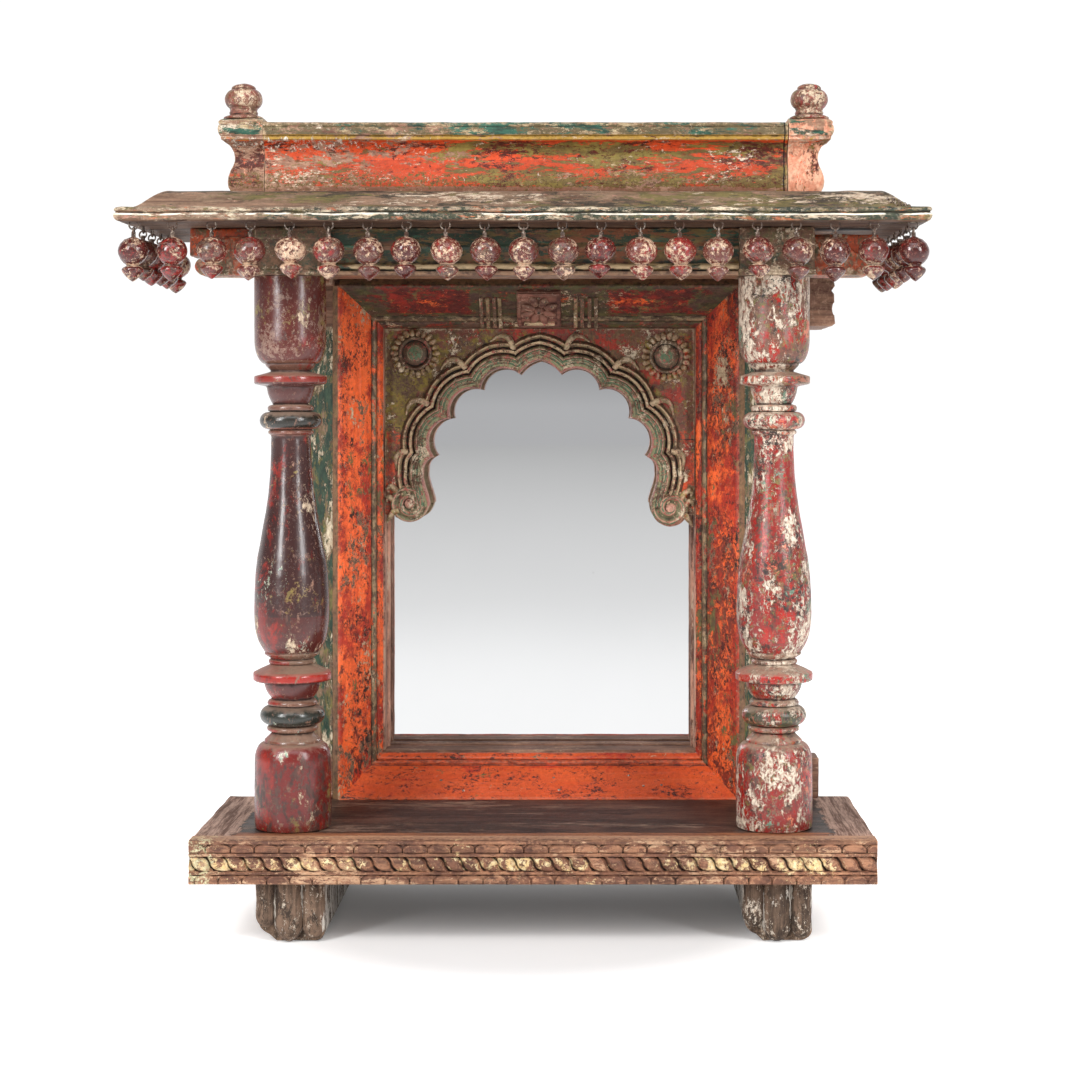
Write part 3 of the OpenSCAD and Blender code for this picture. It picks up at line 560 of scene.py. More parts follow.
def left_column_paint():
    p = Paint("left_column_paint").wood(rgb(150, 112, 92), rgb(92, 60, 48), "Z", 0.5, 0.00015)
    z, tall = p.axis("Z"), (1, 1, 0.6)
    p.coat(p.ramp(z, LEFT_BANDS, 0.12, 0.746), 0.96, 8, None, rgb(132, 96, 80), tall, 0.24)
    outer = p.step(p.scaled(p.axis("X"), -1.0, PORCH * MM), 0.292, 0.018)
    low = p.below(z, 0.42, 0.06)
    p.coat(rgb(142, 38, 27), 0.34, 46, rgb(118, 32, 26), None, tall, 0.26, 0, 0.05,
           bias=p.math("SUBTRACT", p.scaled(p.math("MULTIPLY", outer, low), 0.12, -0.08),
                       p.scaled(p.within(z, 0.234, 0.261, 0.001), 0.25)))
    bell = p.step(z, 0.652, 0.008)
    drum = p.below(z, 0.205, 0.01)
    p.coat(rgb(58, 37, 32), 0.42, 16, rgb(82, 52, 44), None, tall, 0.4, 0, 0.025, bias=p.scaled(drum, 0.1, -0.1))
    ends = p.math("MAXIMUM", bell, p.below(z, 0.175, 0.02))
    p.coat(rgb(126, 110, 50), 0.2, 12, rgb(104, 86, 46), rgb(130, 96, 70), rough=0.42, gather=0.45,
           bias=p.scaled(ends, 0.1, -0.1))
    p.coat(rgb(140, 112, 98), 0.13, 7, rgb(118, 86, 74), None, rough=0.38, gather=0.4, bias=p.scaled(bell, 0.1, -0.1))
    p.coat(rgb(208, 188, 160), 0.025, 6, rgb(180, 154, 130), rgb(124, 88, 70), (1, 1, 0.5), 0.6, 0.3, gather=1.0,
           bias=p.scaled(drum, 0.02))
    belly = p.within(z, 0.33, 0.43, 0.02)
    p.coat(rgb(126, 160, 140), 0.03, 5, rgb(206, 196, 174), None, (1, 1, 0.5), 0.6, gather=1.0,
           bias=p.scaled(belly, 0.08, -0.08))
    p.edges(rgb(186, 148, 124), 0.5, 0.585)
    p.dust(rgb(150, 124, 106), 0.5)
    p.hollow_grime_and_shade(rgb(38, 24, 20), 0.85)
    p.tone(0.6, 0.8)
    return p.done(0.6, 0.00012)


def right_column_paint():
    p = Paint("right_column_paint").wood(rgb(158, 124, 102), rgb(100, 72, 58), "Z", 0.6, 0.0003)
    z, tall = p.axis("Z"), (1, 1, 0.6)
    p.coat(p.ramp(z, RIGHT_BANDS, 0.12, 0.746), 0.9, 9, None, rgb(168, 138, 116), tall, 0.3)
    p.coat(rgb(172, 42, 32), 0.32, 30, rgb(148, 36, 31), None, tall, 0.26, soft=0.03)
    p.coat(rgb(74, 50, 43), 0.17, 14, rgb(100, 72, 58), None, tall, 0.36, soft=0.02)
    bell = p.step(z, 0.64, 0.006)
    p.coat(rgb(122, 112, 56), 0.12, 9, rgb(102, 96, 62), None, rough=0.5, gather=0.4,
           bias=p.scaled(bell, 0.03, -0.015))
    p.coat(rgb(208, 132, 100), 0.05, 12, rgb(196, 88, 62), None, rough=0.42, gather=0.6, bias=p.scaled(bell, 0.03))
    inner = p.below(p.axis("X"), 0.286, 0.022)
    p.coat(rgb(226, 212, 192), 0.23, 6, rgb(190, 166, 146), rgb(132, 94, 76), tall, 0.5, 0.35, gather=0.6,
           bias=p.math("ADD", p.scaled(bell, 0.035), p.scaled(inner, 0.03, -0.015)))
    p.coat(rgb(40, 31, 27), 0.1, 6, rgb(62, 48, 40), None, rough=0.45, gather=0.5)
    p.coat(rgb(126, 156, 136), 0.025, 7, rgb(92, 120, 98), None, rough=0.55, gather=1.0)
    p.edges(rgb(206, 178, 154), 0.55, 0.58)
    p.dust(rgb(168, 144, 124), 0.5)
    p.hollow_grime_and_shade(rgb(44, 28, 23), 0.8)
    p.tone(0.6, 1.0)
    return p.done(0.55, 0.0003)


def jamb_paint():
    p = Paint("jamb_green_paint").wood(rgb(134, 108, 86), rgb(80, 58, 45), "Z", 0.7)
    tall = (1, 1, 0.3)
    p.coat(rgb(112, 104, 58), 0.5, 12, rgb(88, 80, 50), None, tall, 0.6)
    p.coat(rgb(36, 54, 43), 0.55, 11, rgb(52, 72, 55), None, tall, 0.45)
    p.coat(rgb(208, 194, 168), 0.17, 5, rgb(176, 156, 130), rgb(108, 88, 68), tall, 0.65, 0.3, gather=0.8)
    p.edges(rgb(146, 112, 88), 0.6)
    p.hollow_grime_and_shade()
    p.tone()
    return p.done(0.35)


def casing_paint(name, along, red, cream, panel=False, orange=ORANGE, strip=(rgb(82, 62, 44), rgb(142, 120, 88))):
    p = Paint(name).wood(rgb(128, 92, 70), rgb(68, 46, 36), along, 0.6)
    long = (0.6, 1, 1) if along == "X" else (1, 1, 0.66)
    band = p.band()
    p.coat(rgb(92, 36, 25), 0.95, 20, rgb(114, 46, 32), None, long, 0.45)
    p.coat(orange, min(0.97, 0.93 - 0.45 * red), 10, None, rgb(136, 48, 30), long, 0.34, 0.25, gather=0.5)
    fibre = p.noise(9, 5, 0.7, 0.2, (0.05, 1, 1) if along == "X" else (1, 1, 0.05))
    p.colour = p.mix(p.scaled(p.step(fibre, 0.52, 0.1), 0.4), p.colour, rgb(188, 62, 28))
    rims = p.math("MAXIMUM", p.below(band, 0.14, 0.08), p.step(band, 0.58, 0.08))
    p.coat(rgb(178, 48, 26), max(0.02, 0.13 + 0.34 * red), 50, rgb(146, 38, 25), None, long, 0.38, 0, 0.06,
           bias=p.scaled(rims, 0.05, -0.01))
    p.coat(rgb(78, 29, 21), max(0.015, 0.11 + 0.09 * red), 3.5, None, None, long, 0.5, gather=0.4)
    p.coat(rgb(112, 88, 66), max(0.006, 0.04 + 0.06 * red), 11, rgb(80, 58, 44), rgb(186, 160, 126), long, 0.65, -0.3,
           gather=0.6)
    p.coat(rgb(42, 27, 21), max(0.004, 0.03 + 0.04 * red), 6, None, None, long, 0.7, gather=0.6)
    p.coat(rgb(112, 100, 54), max(0.004, 0.03 + 0.08 * red), 13, rgb(88, 76, 50), None, long, 0.6, gather=0.7)
    if panel:
        # The top board, under the eave: a dark maroon over most of it and a dark olive round its frame, partly its
        # own paint and partly painted shade from the eave.
        p.coat(rgb(76, 20, 14), 0.66, 18, rgb(98, 27, 17), None, long, 0.5, soft=0.03)
        p.coat(rgb(150, 38, 22), 0.2, 12, rgb(122, 31, 19), None, long, 0.45, gather=0.4)
        border = p.math("MAXIMUM", p.below(band, 0.1, 0.05), p.step(band, 0.64, 0.03))
        ends = p.step(from_middle(p), 0.185, 0.008)
        middle = p.below(from_middle(p), 0.085, 0.004)
        frame_round = p.math("MAXIMUM", border, p.math("MAXIMUM", ends, middle))
        p.coat(rgb(84, 78, 40), 0.5, 16, rgb(62, 52, 33), None, (0.4, 1, 1), 0.55,
               bias=p.scaled(frame_round, 0.14, -0.1))
        p.coat(rgb(88, 62, 47), 0.3, 12, rgb(70, 45, 35), None, (0.4, 1, 1), 0.6,
               bias=p.scaled(frame_round, 0.1, -0.09))
    lines = p.within(band, 0.718, 0.857, 0.004)
    tint = p.mix(p.step(p.noise(8, 6, 0.75, 0.2, long), 0.52, 0.05), *strip)
    p.colour = p.mix(p.math("MULTIPLY", lines, p.step(p.noise(14, 6, 0.75, 0, long), 0.44, 0.03)), p.colour, tint)
    p.coat(rgb(206, 184, 150), cream, 5, rgb(176, 148, 118), None, long, 0.65, 0.25, gather=0.7)
    edge = p.below(band, -0.03, 0.01)
    bare = p.mix(p.step(p.noise(12, 6, 0.75, 0, long), 0.5, 0.06), rgb(72, 52, 38), rgb(110, 90, 58))
    p.colour = p.mix(edge, p.colour, bare)
    p.edges(rgb(166, 118, 88), 0.45)
    p.hollow_grime_and_shade(rgb(38, 23, 17), 0.85)
    p.tone(0.6, 1.0)
    return p.done(0.45, 0.0005)


def arch_carving():
    p = Paint("arch_carving_paint").wood(rgb(148, 116, 90), rgb(88, 64, 48), "Z", 0.6)
    band = p.band()
    # Colours across the border by distance from its outline in millimetres: the two grooves, 16 to 19.2 and 22.8 to
    # 26.4, are near black, partly painted shade in them; the rib between them and the outer roll's top, 28.6 to 30.6,
    # are cream, partly painted highlight.
    tone = p.ramp(band, [
        (0.0, rgb(182, 108, 94)), (2.0, rgb(138, 142, 106)), (5.4, rgb(84, 108, 80)), (8.0, rgb(196, 170, 138)),
        (9.2, rgb(88, 112, 82)), (12.4, rgb(190, 142, 122)), (13.6, rgb(122, 120, 88)), (16.0, rgb(44, 35, 28)),
        (19.2, rgb(190, 166, 130)), (22.8, rgb(46, 38, 31)), (26.4, rgb(130, 112, 80)), (28.6, rgb(192, 166, 128)),
        (30.6, rgb(88, 72, 54)), (33.6, rgb(124, 92, 62)), (38.0, rgb(112, 60, 48))], 0.0, 40.0)
    p.coat(tone, 0.9, 7, None, None, rough=0.5)
    field = p.step(band, 33.8, 0.5)
    spread = p.scaled(field, 0.15, -0.15)
    p.coat(rgb(104, 76, 50), 0.45, 30, rgb(122, 92, 60), None, rough=0.5, bias=spread, soft=0.04)
    green = p.math("MULTIPLY", p.within(p.axis("X"), -0.192, -0.15, 0.014),
                   p.within(p.axis("Z"), 0.585, 0.645, 0.016))
    p.coat(rgb(134, 114, 44), 0.2, 20, rgb(106, 88, 46), None, rough=0.5, soft=0.02, gather=0.5,
           bias=p.math("ADD", spread, p.scaled(green, 0.12)))
    high = p.step(p.axis("Z"), 0.665, 0.02)
    p.coat(rgb(166, 50, 30), 0.26, 24, rgb(124, 38, 27), None, rough=0.45, gather=0.5, soft=0.016,
           bias=p.math("ADD", spread, p.scaled(high, 0.08, -0.03)))
    low = p.below(p.axis("Z"), 0.57, 0.004)
    p.coat(rgb(200, 76, 36), 0.42, 24, rgb(158, 54, 32), None, rough=0.45,
           bias=p.scaled(p.math("MULTIPLY", field, low), 0.15, -0.15))
    p.coat(rgb(158, 64, 60), 0.14, 6, rgb(176, 108, 94), None, rough=0.5, bias=p.scaled(field, -0.06))
    p.coat(rgb(78, 54, 40), 0.2, 6, rgb(100, 74, 54), None, rough=0.55, gather=0.5)
    p.coat(rgb(218, 200, 172), 0.05, 4, None, None, rough=0.6, lift=0.2, gather=0.8)
    p.edges(rgb(204, 178, 146), 0.6)
    p.hollow_grime_and_shade(rgb(32, 24, 19), 0.9, 0.466)
    p.tone(0.7, 1.0)
    return p.done(0.4)


def beam_paint():
    p = Paint("beam_green_paint").wood(rgb(126, 88, 62), rgb(66, 45, 35), "X", 0.55)
    long = (0.25, 1, 1)
    p.coat(rgb(32, 46, 37), 0.72, 22, rgb(42, 60, 44), None, long, 0.36)
    p.coat(rgb(96, 72, 40), 0.36, 18, rgb(112, 92, 50), None, long, 0.45)
    p.coat(rgb(38, 74, 56), 0.14, 10, rgb(52, 92, 72), None, long, 0.4, gather=0.5)
    p.coat(rgb(120, 68, 42), 0.12, 12, None, None, long, 0.45, gather=0.5)
    line = p.ramp(p.band(), [(0.0, BLACK), (1.0, WHITE), (2.0, BLACK)], 0.0, 3.0)
    ragged = p.math("MULTIPLY", line, p.step(p.noise(16, 6, 0.75, 0, long), 0.48, 0.03))
    p.colour = p.mix(ragged, p.colour, rgb(186, 160, 122))
    low = p.below(p.axis("Z"), 0.7505, 0.001)
    p.colour = p.mix(low, p.colour, p.mix(p.step(p.noise(9, 6, 0.75, 0, long), 0.5, 0.06), rgb(84, 56, 42),
                                          rgb(142, 104, 78)))
    p.edges(rgb(160, 128, 98), 0.55)
    p.hollow_grime_and_shade(rgb(22, 18, 15), 0.9)
    p.tone()
    return p.done(0.45)


def bracket_paint():
    p = Paint("bracket_paint").wood(rgb(136, 100, 76), rgb(78, 54, 41), "X", 0.6)
    arm = p.step(from_middle(p), 0.316, 0.001)
    p.coat(rgb(98, 86, 52), 0.4, 16, rgb(70, 66, 44), None, rough=0.5)
    p.coat(rgb(46, 58, 44), 0.25, 14, rgb(92, 76, 54), None, rough=0.45, bias=p.scaled(arm, -0.06))
    p.coat(rgb(186, 78, 40), 0.55, 14, rgb(146, 62, 38), rgb(106, 50, 34), (1, 1, 0.5), 0.4,
           bias=p.scaled(arm, 0.22, -0.22))
    p.coat(rgb(112, 80, 60), 0.26, 9, rgb(94, 64, 50), None, rough=0.6)
    low = p.below(p.axis("Z"), 0.7555, 0.003)
    p.coat(rgb(206, 186, 158), 0.25, 7, rgb(160, 136, 112), None, rough=0.65, bias=p.scaled(low, 0.08, -0.08),
           gather=0.5)
    p.edges(rgb(182, 150, 122), 0.6)
    p.hollow_grime_and_shade(rgb(32, 23, 18), 0.9)
    p.tone()
    return p.done(0.4)


def eave_paint():
    p = Paint("eave_flaking_paint").wood(rgb(150, 118, 96), rgb(92, 68, 54), "X", 0.7)
    long = (0.25, 1, 1)
    band, right = p.band(), p.step(p.axis("X"), -0.05, 0.25)
    p.coat(rgb(112, 90, 72), 0.6, 18, rgb(134, 108, 88), None, long, 0.65, soft=0.03)
    p.coat(rgb(112, 100, 60), 0.26, 22, rgb(92, 82, 52), None, long, 0.6, gather=0.5,
           bias=p.scaled(right, 0.05, -0.02))
    p.coat(rgb(150, 106, 90), 0.14, 16, rgb(166, 124, 108), None, long, 0.65, gather=0.5,
           bias=p.scaled(right, -0.05, 0.02))
    p.coat(rgb(54, 46, 38), 0.2, 8, rgb(78, 66, 52), None, long, 0.55, gather=0.6)
    p.coat(rgb(206, 188, 166), 0.1, 5, rgb(172, 148, 126), None, long, 0.7, gather=0.6)
    face = p.below(band, 27.0, 1.0)
    p.coat(rgb(32, 43, 35), 0.56, 9, rgb(58, 62, 44), None, long, 0.45,
           bias=p.scaled(p.math("MULTIPLY", face, p.step(p.axis("X"), -0.27, 0.08)), 0.17, -0.14))
    p.coat(rgb(216, 202, 176), 0.17, 6, rgb(170, 146, 118), rgb(96, 74, 58), long, 0.65, 0.4, gather=0.45,
           bias=p.scaled(face, 0.13, -0.135))
    p.coat(rgb(176, 104, 64), 0.05, 8, rgb(150, 84, 56), None, long, 0.55, bias=p.scaled(face, 0.05, -0.05))
    line = p.within(band, 13.0, 15.2, 0.3)
    ragged = p.math("MULTIPLY", line, p.step(p.noise(20, 6, 0.75, 0, long), 0.47, 0.03))
    p.colour = p.mix(ragged, p.colour, rgb(232, 224, 208))
    down = p.below(p.facing("Z"), -0.75, 0.1)
    p.colour = p.mix(down, p.colour, p.mix(p.step(p.noise(12, 6, 0.75, 0, long), 0.5, 0.08), rgb(62, 43, 33),
                                           rgb(104, 76, 58)))
    p.edges(rgb(202, 180, 154), 0.45)
    p.hollow_grime_and_shade(rgb(34, 27, 22), 0.9)
    p.tone(0.7, 0.8)
    return p.done(0.4)


def parapet_paint(name, block):
    p = Paint(name).wood(rgb(156, 116, 94), rgb(98, 68, 54), "X", 0.6)
    long, flat = (0.4, 1, 1), (0.22, 1, 1)
    band = p.band()
    base = p.ramp(band, [(0.0, rgb(132, 92, 74)), (0.13, rgb(180, 64, 32)), (0.50, rgb(198, 72, 34)),
                         (0.755, rgb(164, 128, 54)),
                         (0.825, rgb(96, 83, 58)), (1.0, rgb(112, 90, 67))])
    p.coat(base, 0.92, 12, None, None, long, 0.46)
    moulding = p.within(band, 0.12, 0.74, 0.03)
    spread = p.scaled(moulding, 0.12, -0.12)
    p.coat(rgb(124, 108, 54), 0.31, 24, rgb(100, 82, 46), rgb(112, 56, 36), flat, 0.5, bias=spread, gather=0.5)
    left = p.step(p.scaled(p.axis("X"), -1.0), 0.15, 0.09)
    p.coat(rgb(134, 98, 80), 0.7 if block else 0.2, 16, rgb(160, 124, 102), None, long, 0.6, gather=0.5,
           bias=p.scaled(left, 0.095, -0.012))
    p.coat(rgb(92, 34, 25), 0.24, 5, rgb(66, 32, 25), None, long, 0.45, bias=spread, gather=0.5)
    foot = p.within(band, 0.1, 0.33, 0.08)
    p.coat(rgb(84, 64, 38), 0.42, 3.5, rgb(112, 94, 50), None, (0.8, 1, 1), 0.6, bias=p.scaled(foot, 0.1, -0.1))
    if block:
        patch = p.math("MULTIPLY", p.within(p.axis("X"), 0.2, 0.316, 0.008), p.within(band, 0.12, 0.7, 0.06))
        p.coat(rgb(216, 96, 58), 0.45, 20, rgb(204, 84, 50), rgb(170, 120, 96), rough=0.4,
               bias=p.scaled(patch, 0.12, -0.12))
        p.coat(rgb(196, 128, 100), 0.5, 9, rgb(212, 162, 134), rgb(176, 108, 82), (1, 1, 0.5), 0.55, gather=0.4,
               bias=p.scaled(p.step(p.axis("X"), 0.29, 0.004), 0.15, -0.15))
    cap = p.scaled(p.step(band, 0.825, 0.004), 0.13, -0.13)
    p.coat(rgb(182, 162, 128), 0.26, 8, rgb(140, 116, 88), None, long, 0.6, bias=cap, gather=0.4)
    p.coat(rgb(40, 58, 48), 0.3, 12, rgb(52, 92, 76), None, flat, 0.45, bias=cap, gather=0.6)
    p.coat(rgb(216, 200, 178), 0.025, 4, rgb(182, 160, 138), None, long, 0.65, gather=0.5)
    drip = p.math("MULTIPLY", p.step(p.scaled(p.axis("X"), -1.0), 0.17, 0.05), p.within(band, 0.62, 0.80, 0.05))
    p.coat(rgb(232, 224, 210), 0.22, 6, rgb(212, 196, 178), None, (1, 1, 0.4), 0.6, 0.4,
           bias=p.scaled(drip, 0.12, -0.12))
    p.edges(rgb(196, 164, 134), 0.5)
    p.hollow_grime_and_shade(rgb(38, 23, 18), 0.88)
    if not block:
        split = p.math("ADD", p.axis("X"), p.scaled(p.noise(40.0, 3, 0.6), 0.005, -0.0025))
        p.colour = p.mix(p.within(split, 0.2930, 0.2946, 0.0004), p.colour, rgb(24, 16, 12))
    p.tone(0.7, 1.0)
    return p.done(0.25)


def finial_paint():
    p = Paint("finial_worn_paint").wood(rgb(158, 116, 94), rgb(100, 68, 54), "Z", 0.5, 0.0003)
    p.coat(rgb(112, 54, 44), 0.5, 9, rgb(140, 84, 68), None, rough=0.32)
    p.coat(rgb(66, 42, 35), 0.16, 6, rgb(86, 58, 46), None, rough=0.45, gather=0.5)
    p.coat(rgb(150, 50, 46), 0.14, 7, None, None, rough=0.34, gather=0.5)
    p.coat(rgb(118, 100, 58), 0.14, 7, rgb(104, 82, 54), None, rough=0.5, gather=0.6)
    p.coat(rgb(218, 198, 170), 0.13, 5, rgb(190, 162, 134), None, rough=0.6, gather=0.6)
    p.edges(rgb(192, 158, 130), 0.5, 0.62)
    p.hollow_grime_and_shade(rgb(44, 29, 23), 0.9)
    p.tone()
    return p.done(0.5, 0.0004)


def drop_paint(name, chip, tone, other):
    p = Paint(name).wood(rgb(164, 122, 104), rgb(116, 78, 66), "Z", 0.5, 0.0001)
    p.coat(tone, 0.92, 6, other, rgb(150, 100, 84), rough=0.18)
    p.coat(rgb(146, 42, 38), 0.18, 8, rgb(120, 34, 32), None, rough=0.2, gather=0.5)
    p.coat(rgb(66, 44, 40), 0.16, 7, rgb(104, 82, 62), None, rough=0.3, gather=0.5)
    waist = p.scaled(p.step(p.band(), 0.5, 0.15), 0.1)
    p.coat(rgb(218, 192, 162), chip, 5, rgb(186, 146, 120), rgb(128, 82, 68), rough=0.42, lift=0.25, bias=waist,
           gather=0.45)
    p.hollow_grime_and_shade(rgb(46, 27, 23), 0.7)
    p.tone(0.6, 1.0)
    return p.done(0.65, 0.00015)


def wire_iron():
    p = Paint("old_iron_wire").wood(rgb(126, 108, 96), rgb(58, 47, 42), "Z", 0.5)
    p.coat(rgb(98, 68, 52), 0.45, 6, rgb(70, 51, 43), None, rough=0.75)
    p.coat(rgb(190, 176, 160), 0.16, 4, None, None, rough=0.5)
    p.tone()
    return p.done(0.5)


def mirror_glass():
    p = Paint("mirror_silver")
    smear = p.noise(240, 4, 0.6)
    p.colour = p.mix(smear, (0.90, 0.905, 0.91, 1), (0.84, 0.845, 0.85, 1))
    p.colour = p.mix(p.step(p.noise(7.0, 2, 0.5), 0.79, 0.01), p.colour, (0.5, 0.49, 0.47, 1))
    shader = p.node("ShaderNodeBsdfPrincipled")
    p.put(shader.inputs["Base Color"], p.colour)
    shader.inputs["Metallic"].default_value = 1.0
    p.put(shader.inputs["Roughness"], p.scaled(smear, 0.03, 0.01))
    p.finish(shader)
    return p.mat


BROWN_X, BROWN_Z = brown_wood("old_brown_wood", "X"), brown_wood("old_brown_upright", "Z")
OLIVE = olive_board()
WIRE = wire_iron()
ARCH = arch_carving()
CASING = {
    "casing_left": casing_paint("casing_left_paint", "Z", 0.05, 0.02),
    "casing_right": casing_paint("casing_right_paint", "Z", 0.75, 0.025),
    "casing_top": casing_paint("casing_top_paint", "X", 0.9, 0.03, True),
    "casing_bottom": casing_paint("casing_bottom_paint", "X", -0.3, 0.003, False, rgb(196, 80, 36),
                                  (rgb(128, 50, 26), rgb(176, 72, 34))),
}
PARAPET, PARAPET_BLOCK = parapet_paint("parapet_rail_paint", False), parapet_paint("parapet_block_paint", True)
EAVE, JAMB, BRACKET = eave_paint(), jamb_paint(), bracket_paint()
DROPS = [
    drop_paint("drop_paint_dark", 0.08, rgb(84, 33, 29), rgb(64, 27, 25)),
    drop_paint("drop_paint_dusty", 0.18, rgb(98, 48, 41), rgb(78, 34, 31)),
    drop_paint("drop_paint_chipped", 0.33, rgb(92, 38, 32), rgb(108, 62, 51)),
]
FLOWER = brown_wood("flower_block_wood", "X", rgb(140, 92, 76), rgb(66, 34, 28))
# The reveal's pale brown is made paler than the frame's wood, partly painted light that lifts it out of the shade it
# lies in.
REVEAL = brown_wood("reveal_wood", "Z", rgb(206, 154, 130), rgb(134, 92, 74))


# Feet: two beams with three reeded lobes on the front

def feet():
    shape = Shape()
    for side in (-1, 1):
        x = side * COL_X
        outline = [(-38, 71), (-37, 30)] + arc(-17, 26, 20, 20, 180, 250, 6) + [(-16, 0.4), (27, 0.4)] + arc(
            27, 12, 11.5, 11.6, 275, 360, 6) + [(38.6, 71)]
        line = resampled(outline + [outline[0]], 5)[:-1]
        depth = np.concatenate([[38, 40], np.linspace(46, 357, 24), [363, 365]])
        inset = np.where((depth < 39) | (depth > 364), 1.5, 0.0)
        loops = np.stack([xyz(x + line[:, 0] * (1 - i / 39), d, line[:, 1] * (1 - i / 90) + i * 0.4)
                          for d, i in zip(depth, inset)])
        shape.sweep(worn(loops, 0.9, 3 + side))
        for lobe, (lx, r, rise) in enumerate(((-27, 12, 16), (-1, 16.5, 0.6), (26, 12.5, 4))):
            turns = [math.radians(t) for t in range(24, 91, 8)]
            dome = [(r * math.sin(t), rise + 1.3 * r * (1 - math.cos(t))) for t in turns]
            profile = [(0.3, rise), (r * 0.25, rise + 0.6)] + dome + [(r, rise + 1.3 * r + 1), (r * 1.02, 69.5),
                                                                      (r * 0.6, 70.6), (0.3, 70.8)]
            shape.lathe(resampled(profile, 3.0), (x + lx, 37.0, 0), 40, 1.0, 30 + lobe + 7 * side, size=11)
    for q in shape.points:
        q[:, 2] = np.clip(q[:, 2], 0.0, FOOT_TOP)
    make("feet_carved", shape, foot_wood(), ["feet"])


# Base: board, and front rail with petals and a rope

def base():
    wood = base_wood()
    shape = Shape()
    shape.board((-BASE_HALF, RAIL_BACK + 0.4, FOOT_TOP), (BASE_HALF, WALL_D, BASE_TOP), 3.0, 12, 0.5, 41)
    shape.board((-300, WALL_D - 2, FOOT_TOP), (300, FRAME_BACK, BASE_TOP), 3.0, 16, 0.5, 42)
    make("base_planks", shape, wood, ["base_board"])


def notch(x, pitch, phase, width):
    """1 in the middle of each notch, falling to 0 at its edges."""
    u = (x / pitch + phase) % 1.0
    away = np.minimum(u, 1 - u) * pitch
    return np.clip(1 - away / width, 0, 1)


def rail():
    x = np.linspace(-BASE_HALF, BASE_HALF, 845)
    z = np.concatenate([[71, 71.6, 72.4], np.arange(73.5, 118.0, 0.85), [118.2, 119.0, 119.6, 120.0]])
    X, Z = np.meshgrid(x, z, indexing="ij")
    flat = xyz(X, 0.0, Z)
    jitter = 1.6 * lumps(flat * [1, 1, 0.0], 60, 51)
    Y = np.interp(Z, [71, 72.5, 80.5, 81.6, 82.2, 84.8, 85.6, 101.2, 102.0, 105.2, 105.8, 106.8, 115.0, 115.6, 117.5,
                      119.2, 120],
                  [3.4, 1.4, 1.0, 3.0, 1.6, 1.6, 4.0, 4.0, 1.4, 1.4, 3.2, 2.2, 1.4, 0.6, 0.2, 0.8, 2.6])
    t = np.clip((Z - 93.4) / 7.8, -1, 1)
    inside = np.abs(Z - 93.4) < 7.8
    drift = 11.6 * ((1 - t) / 2 + 0.10 * np.sin(np.pi * t))
    groove = notch(X - drift + jitter, 19.9, 0.2, 3.4)
    cell = 4.4 * (1 - t * t) ** 0.5 + 0.9 * np.cos(2 * np.pi * ((X - drift + jitter) / 19.9 + 0.7))
    Y = np.where(inside, 5.0 - cell + 4.6 * groove ** 0.8, Y)
    # Petals with round tops and a notch between each two
    for low, high, pitch, phase, sway in ((105.8, 115.2, 27.0, 0.35, 1.5), (71.0, 81.2, 26.6, 0.1, -1.5)):
        row = (Z > low) & (Z < high)
        u = np.abs(((X + sway * jitter) / pitch + phase) % 1.0 - 0.5) * 2
        top = low + (high - low) * (1.02 - 0.62 * u ** 3.2)
        beyond = np.clip((Z - top) / 1.1 + 0.5, 0, 1)
        cut = np.clip((u - 0.93) / 0.07, 0, 1)
        Y = np.where(row, Y + 2.2 * beyond + 2.6 * cut ** 0.8 * (1 - beyond) - 0.7 * (1 - u * u) * (1 - beyond), Y)
    Y = Y + 0.45 * lumps(flat, 7, 55) + 0.5 * lumps(flat, 26, 56)
    chip = np.clip(lumps(flat, 24, 57) - 0.35, 0, 1)
    Y = Y + chip * 3.0 * (np.abs(Z - 120) < 5)
    Y = np.maximum(Y, 0.0)
    front = xyz(X, Y, Z)
    back = np.stack([xyz(x, RAIL_BACK, BASE_TOP), xyz(x, RAIL_BACK, FOOT_TOP)], 1)
    loops = np.concatenate([front, back], 1)
    shape = Shape()
    shape.sweep(loops)
    make("rail_carving", shape, rail_wood(), ["base_front_rail"])


# Columns, turned

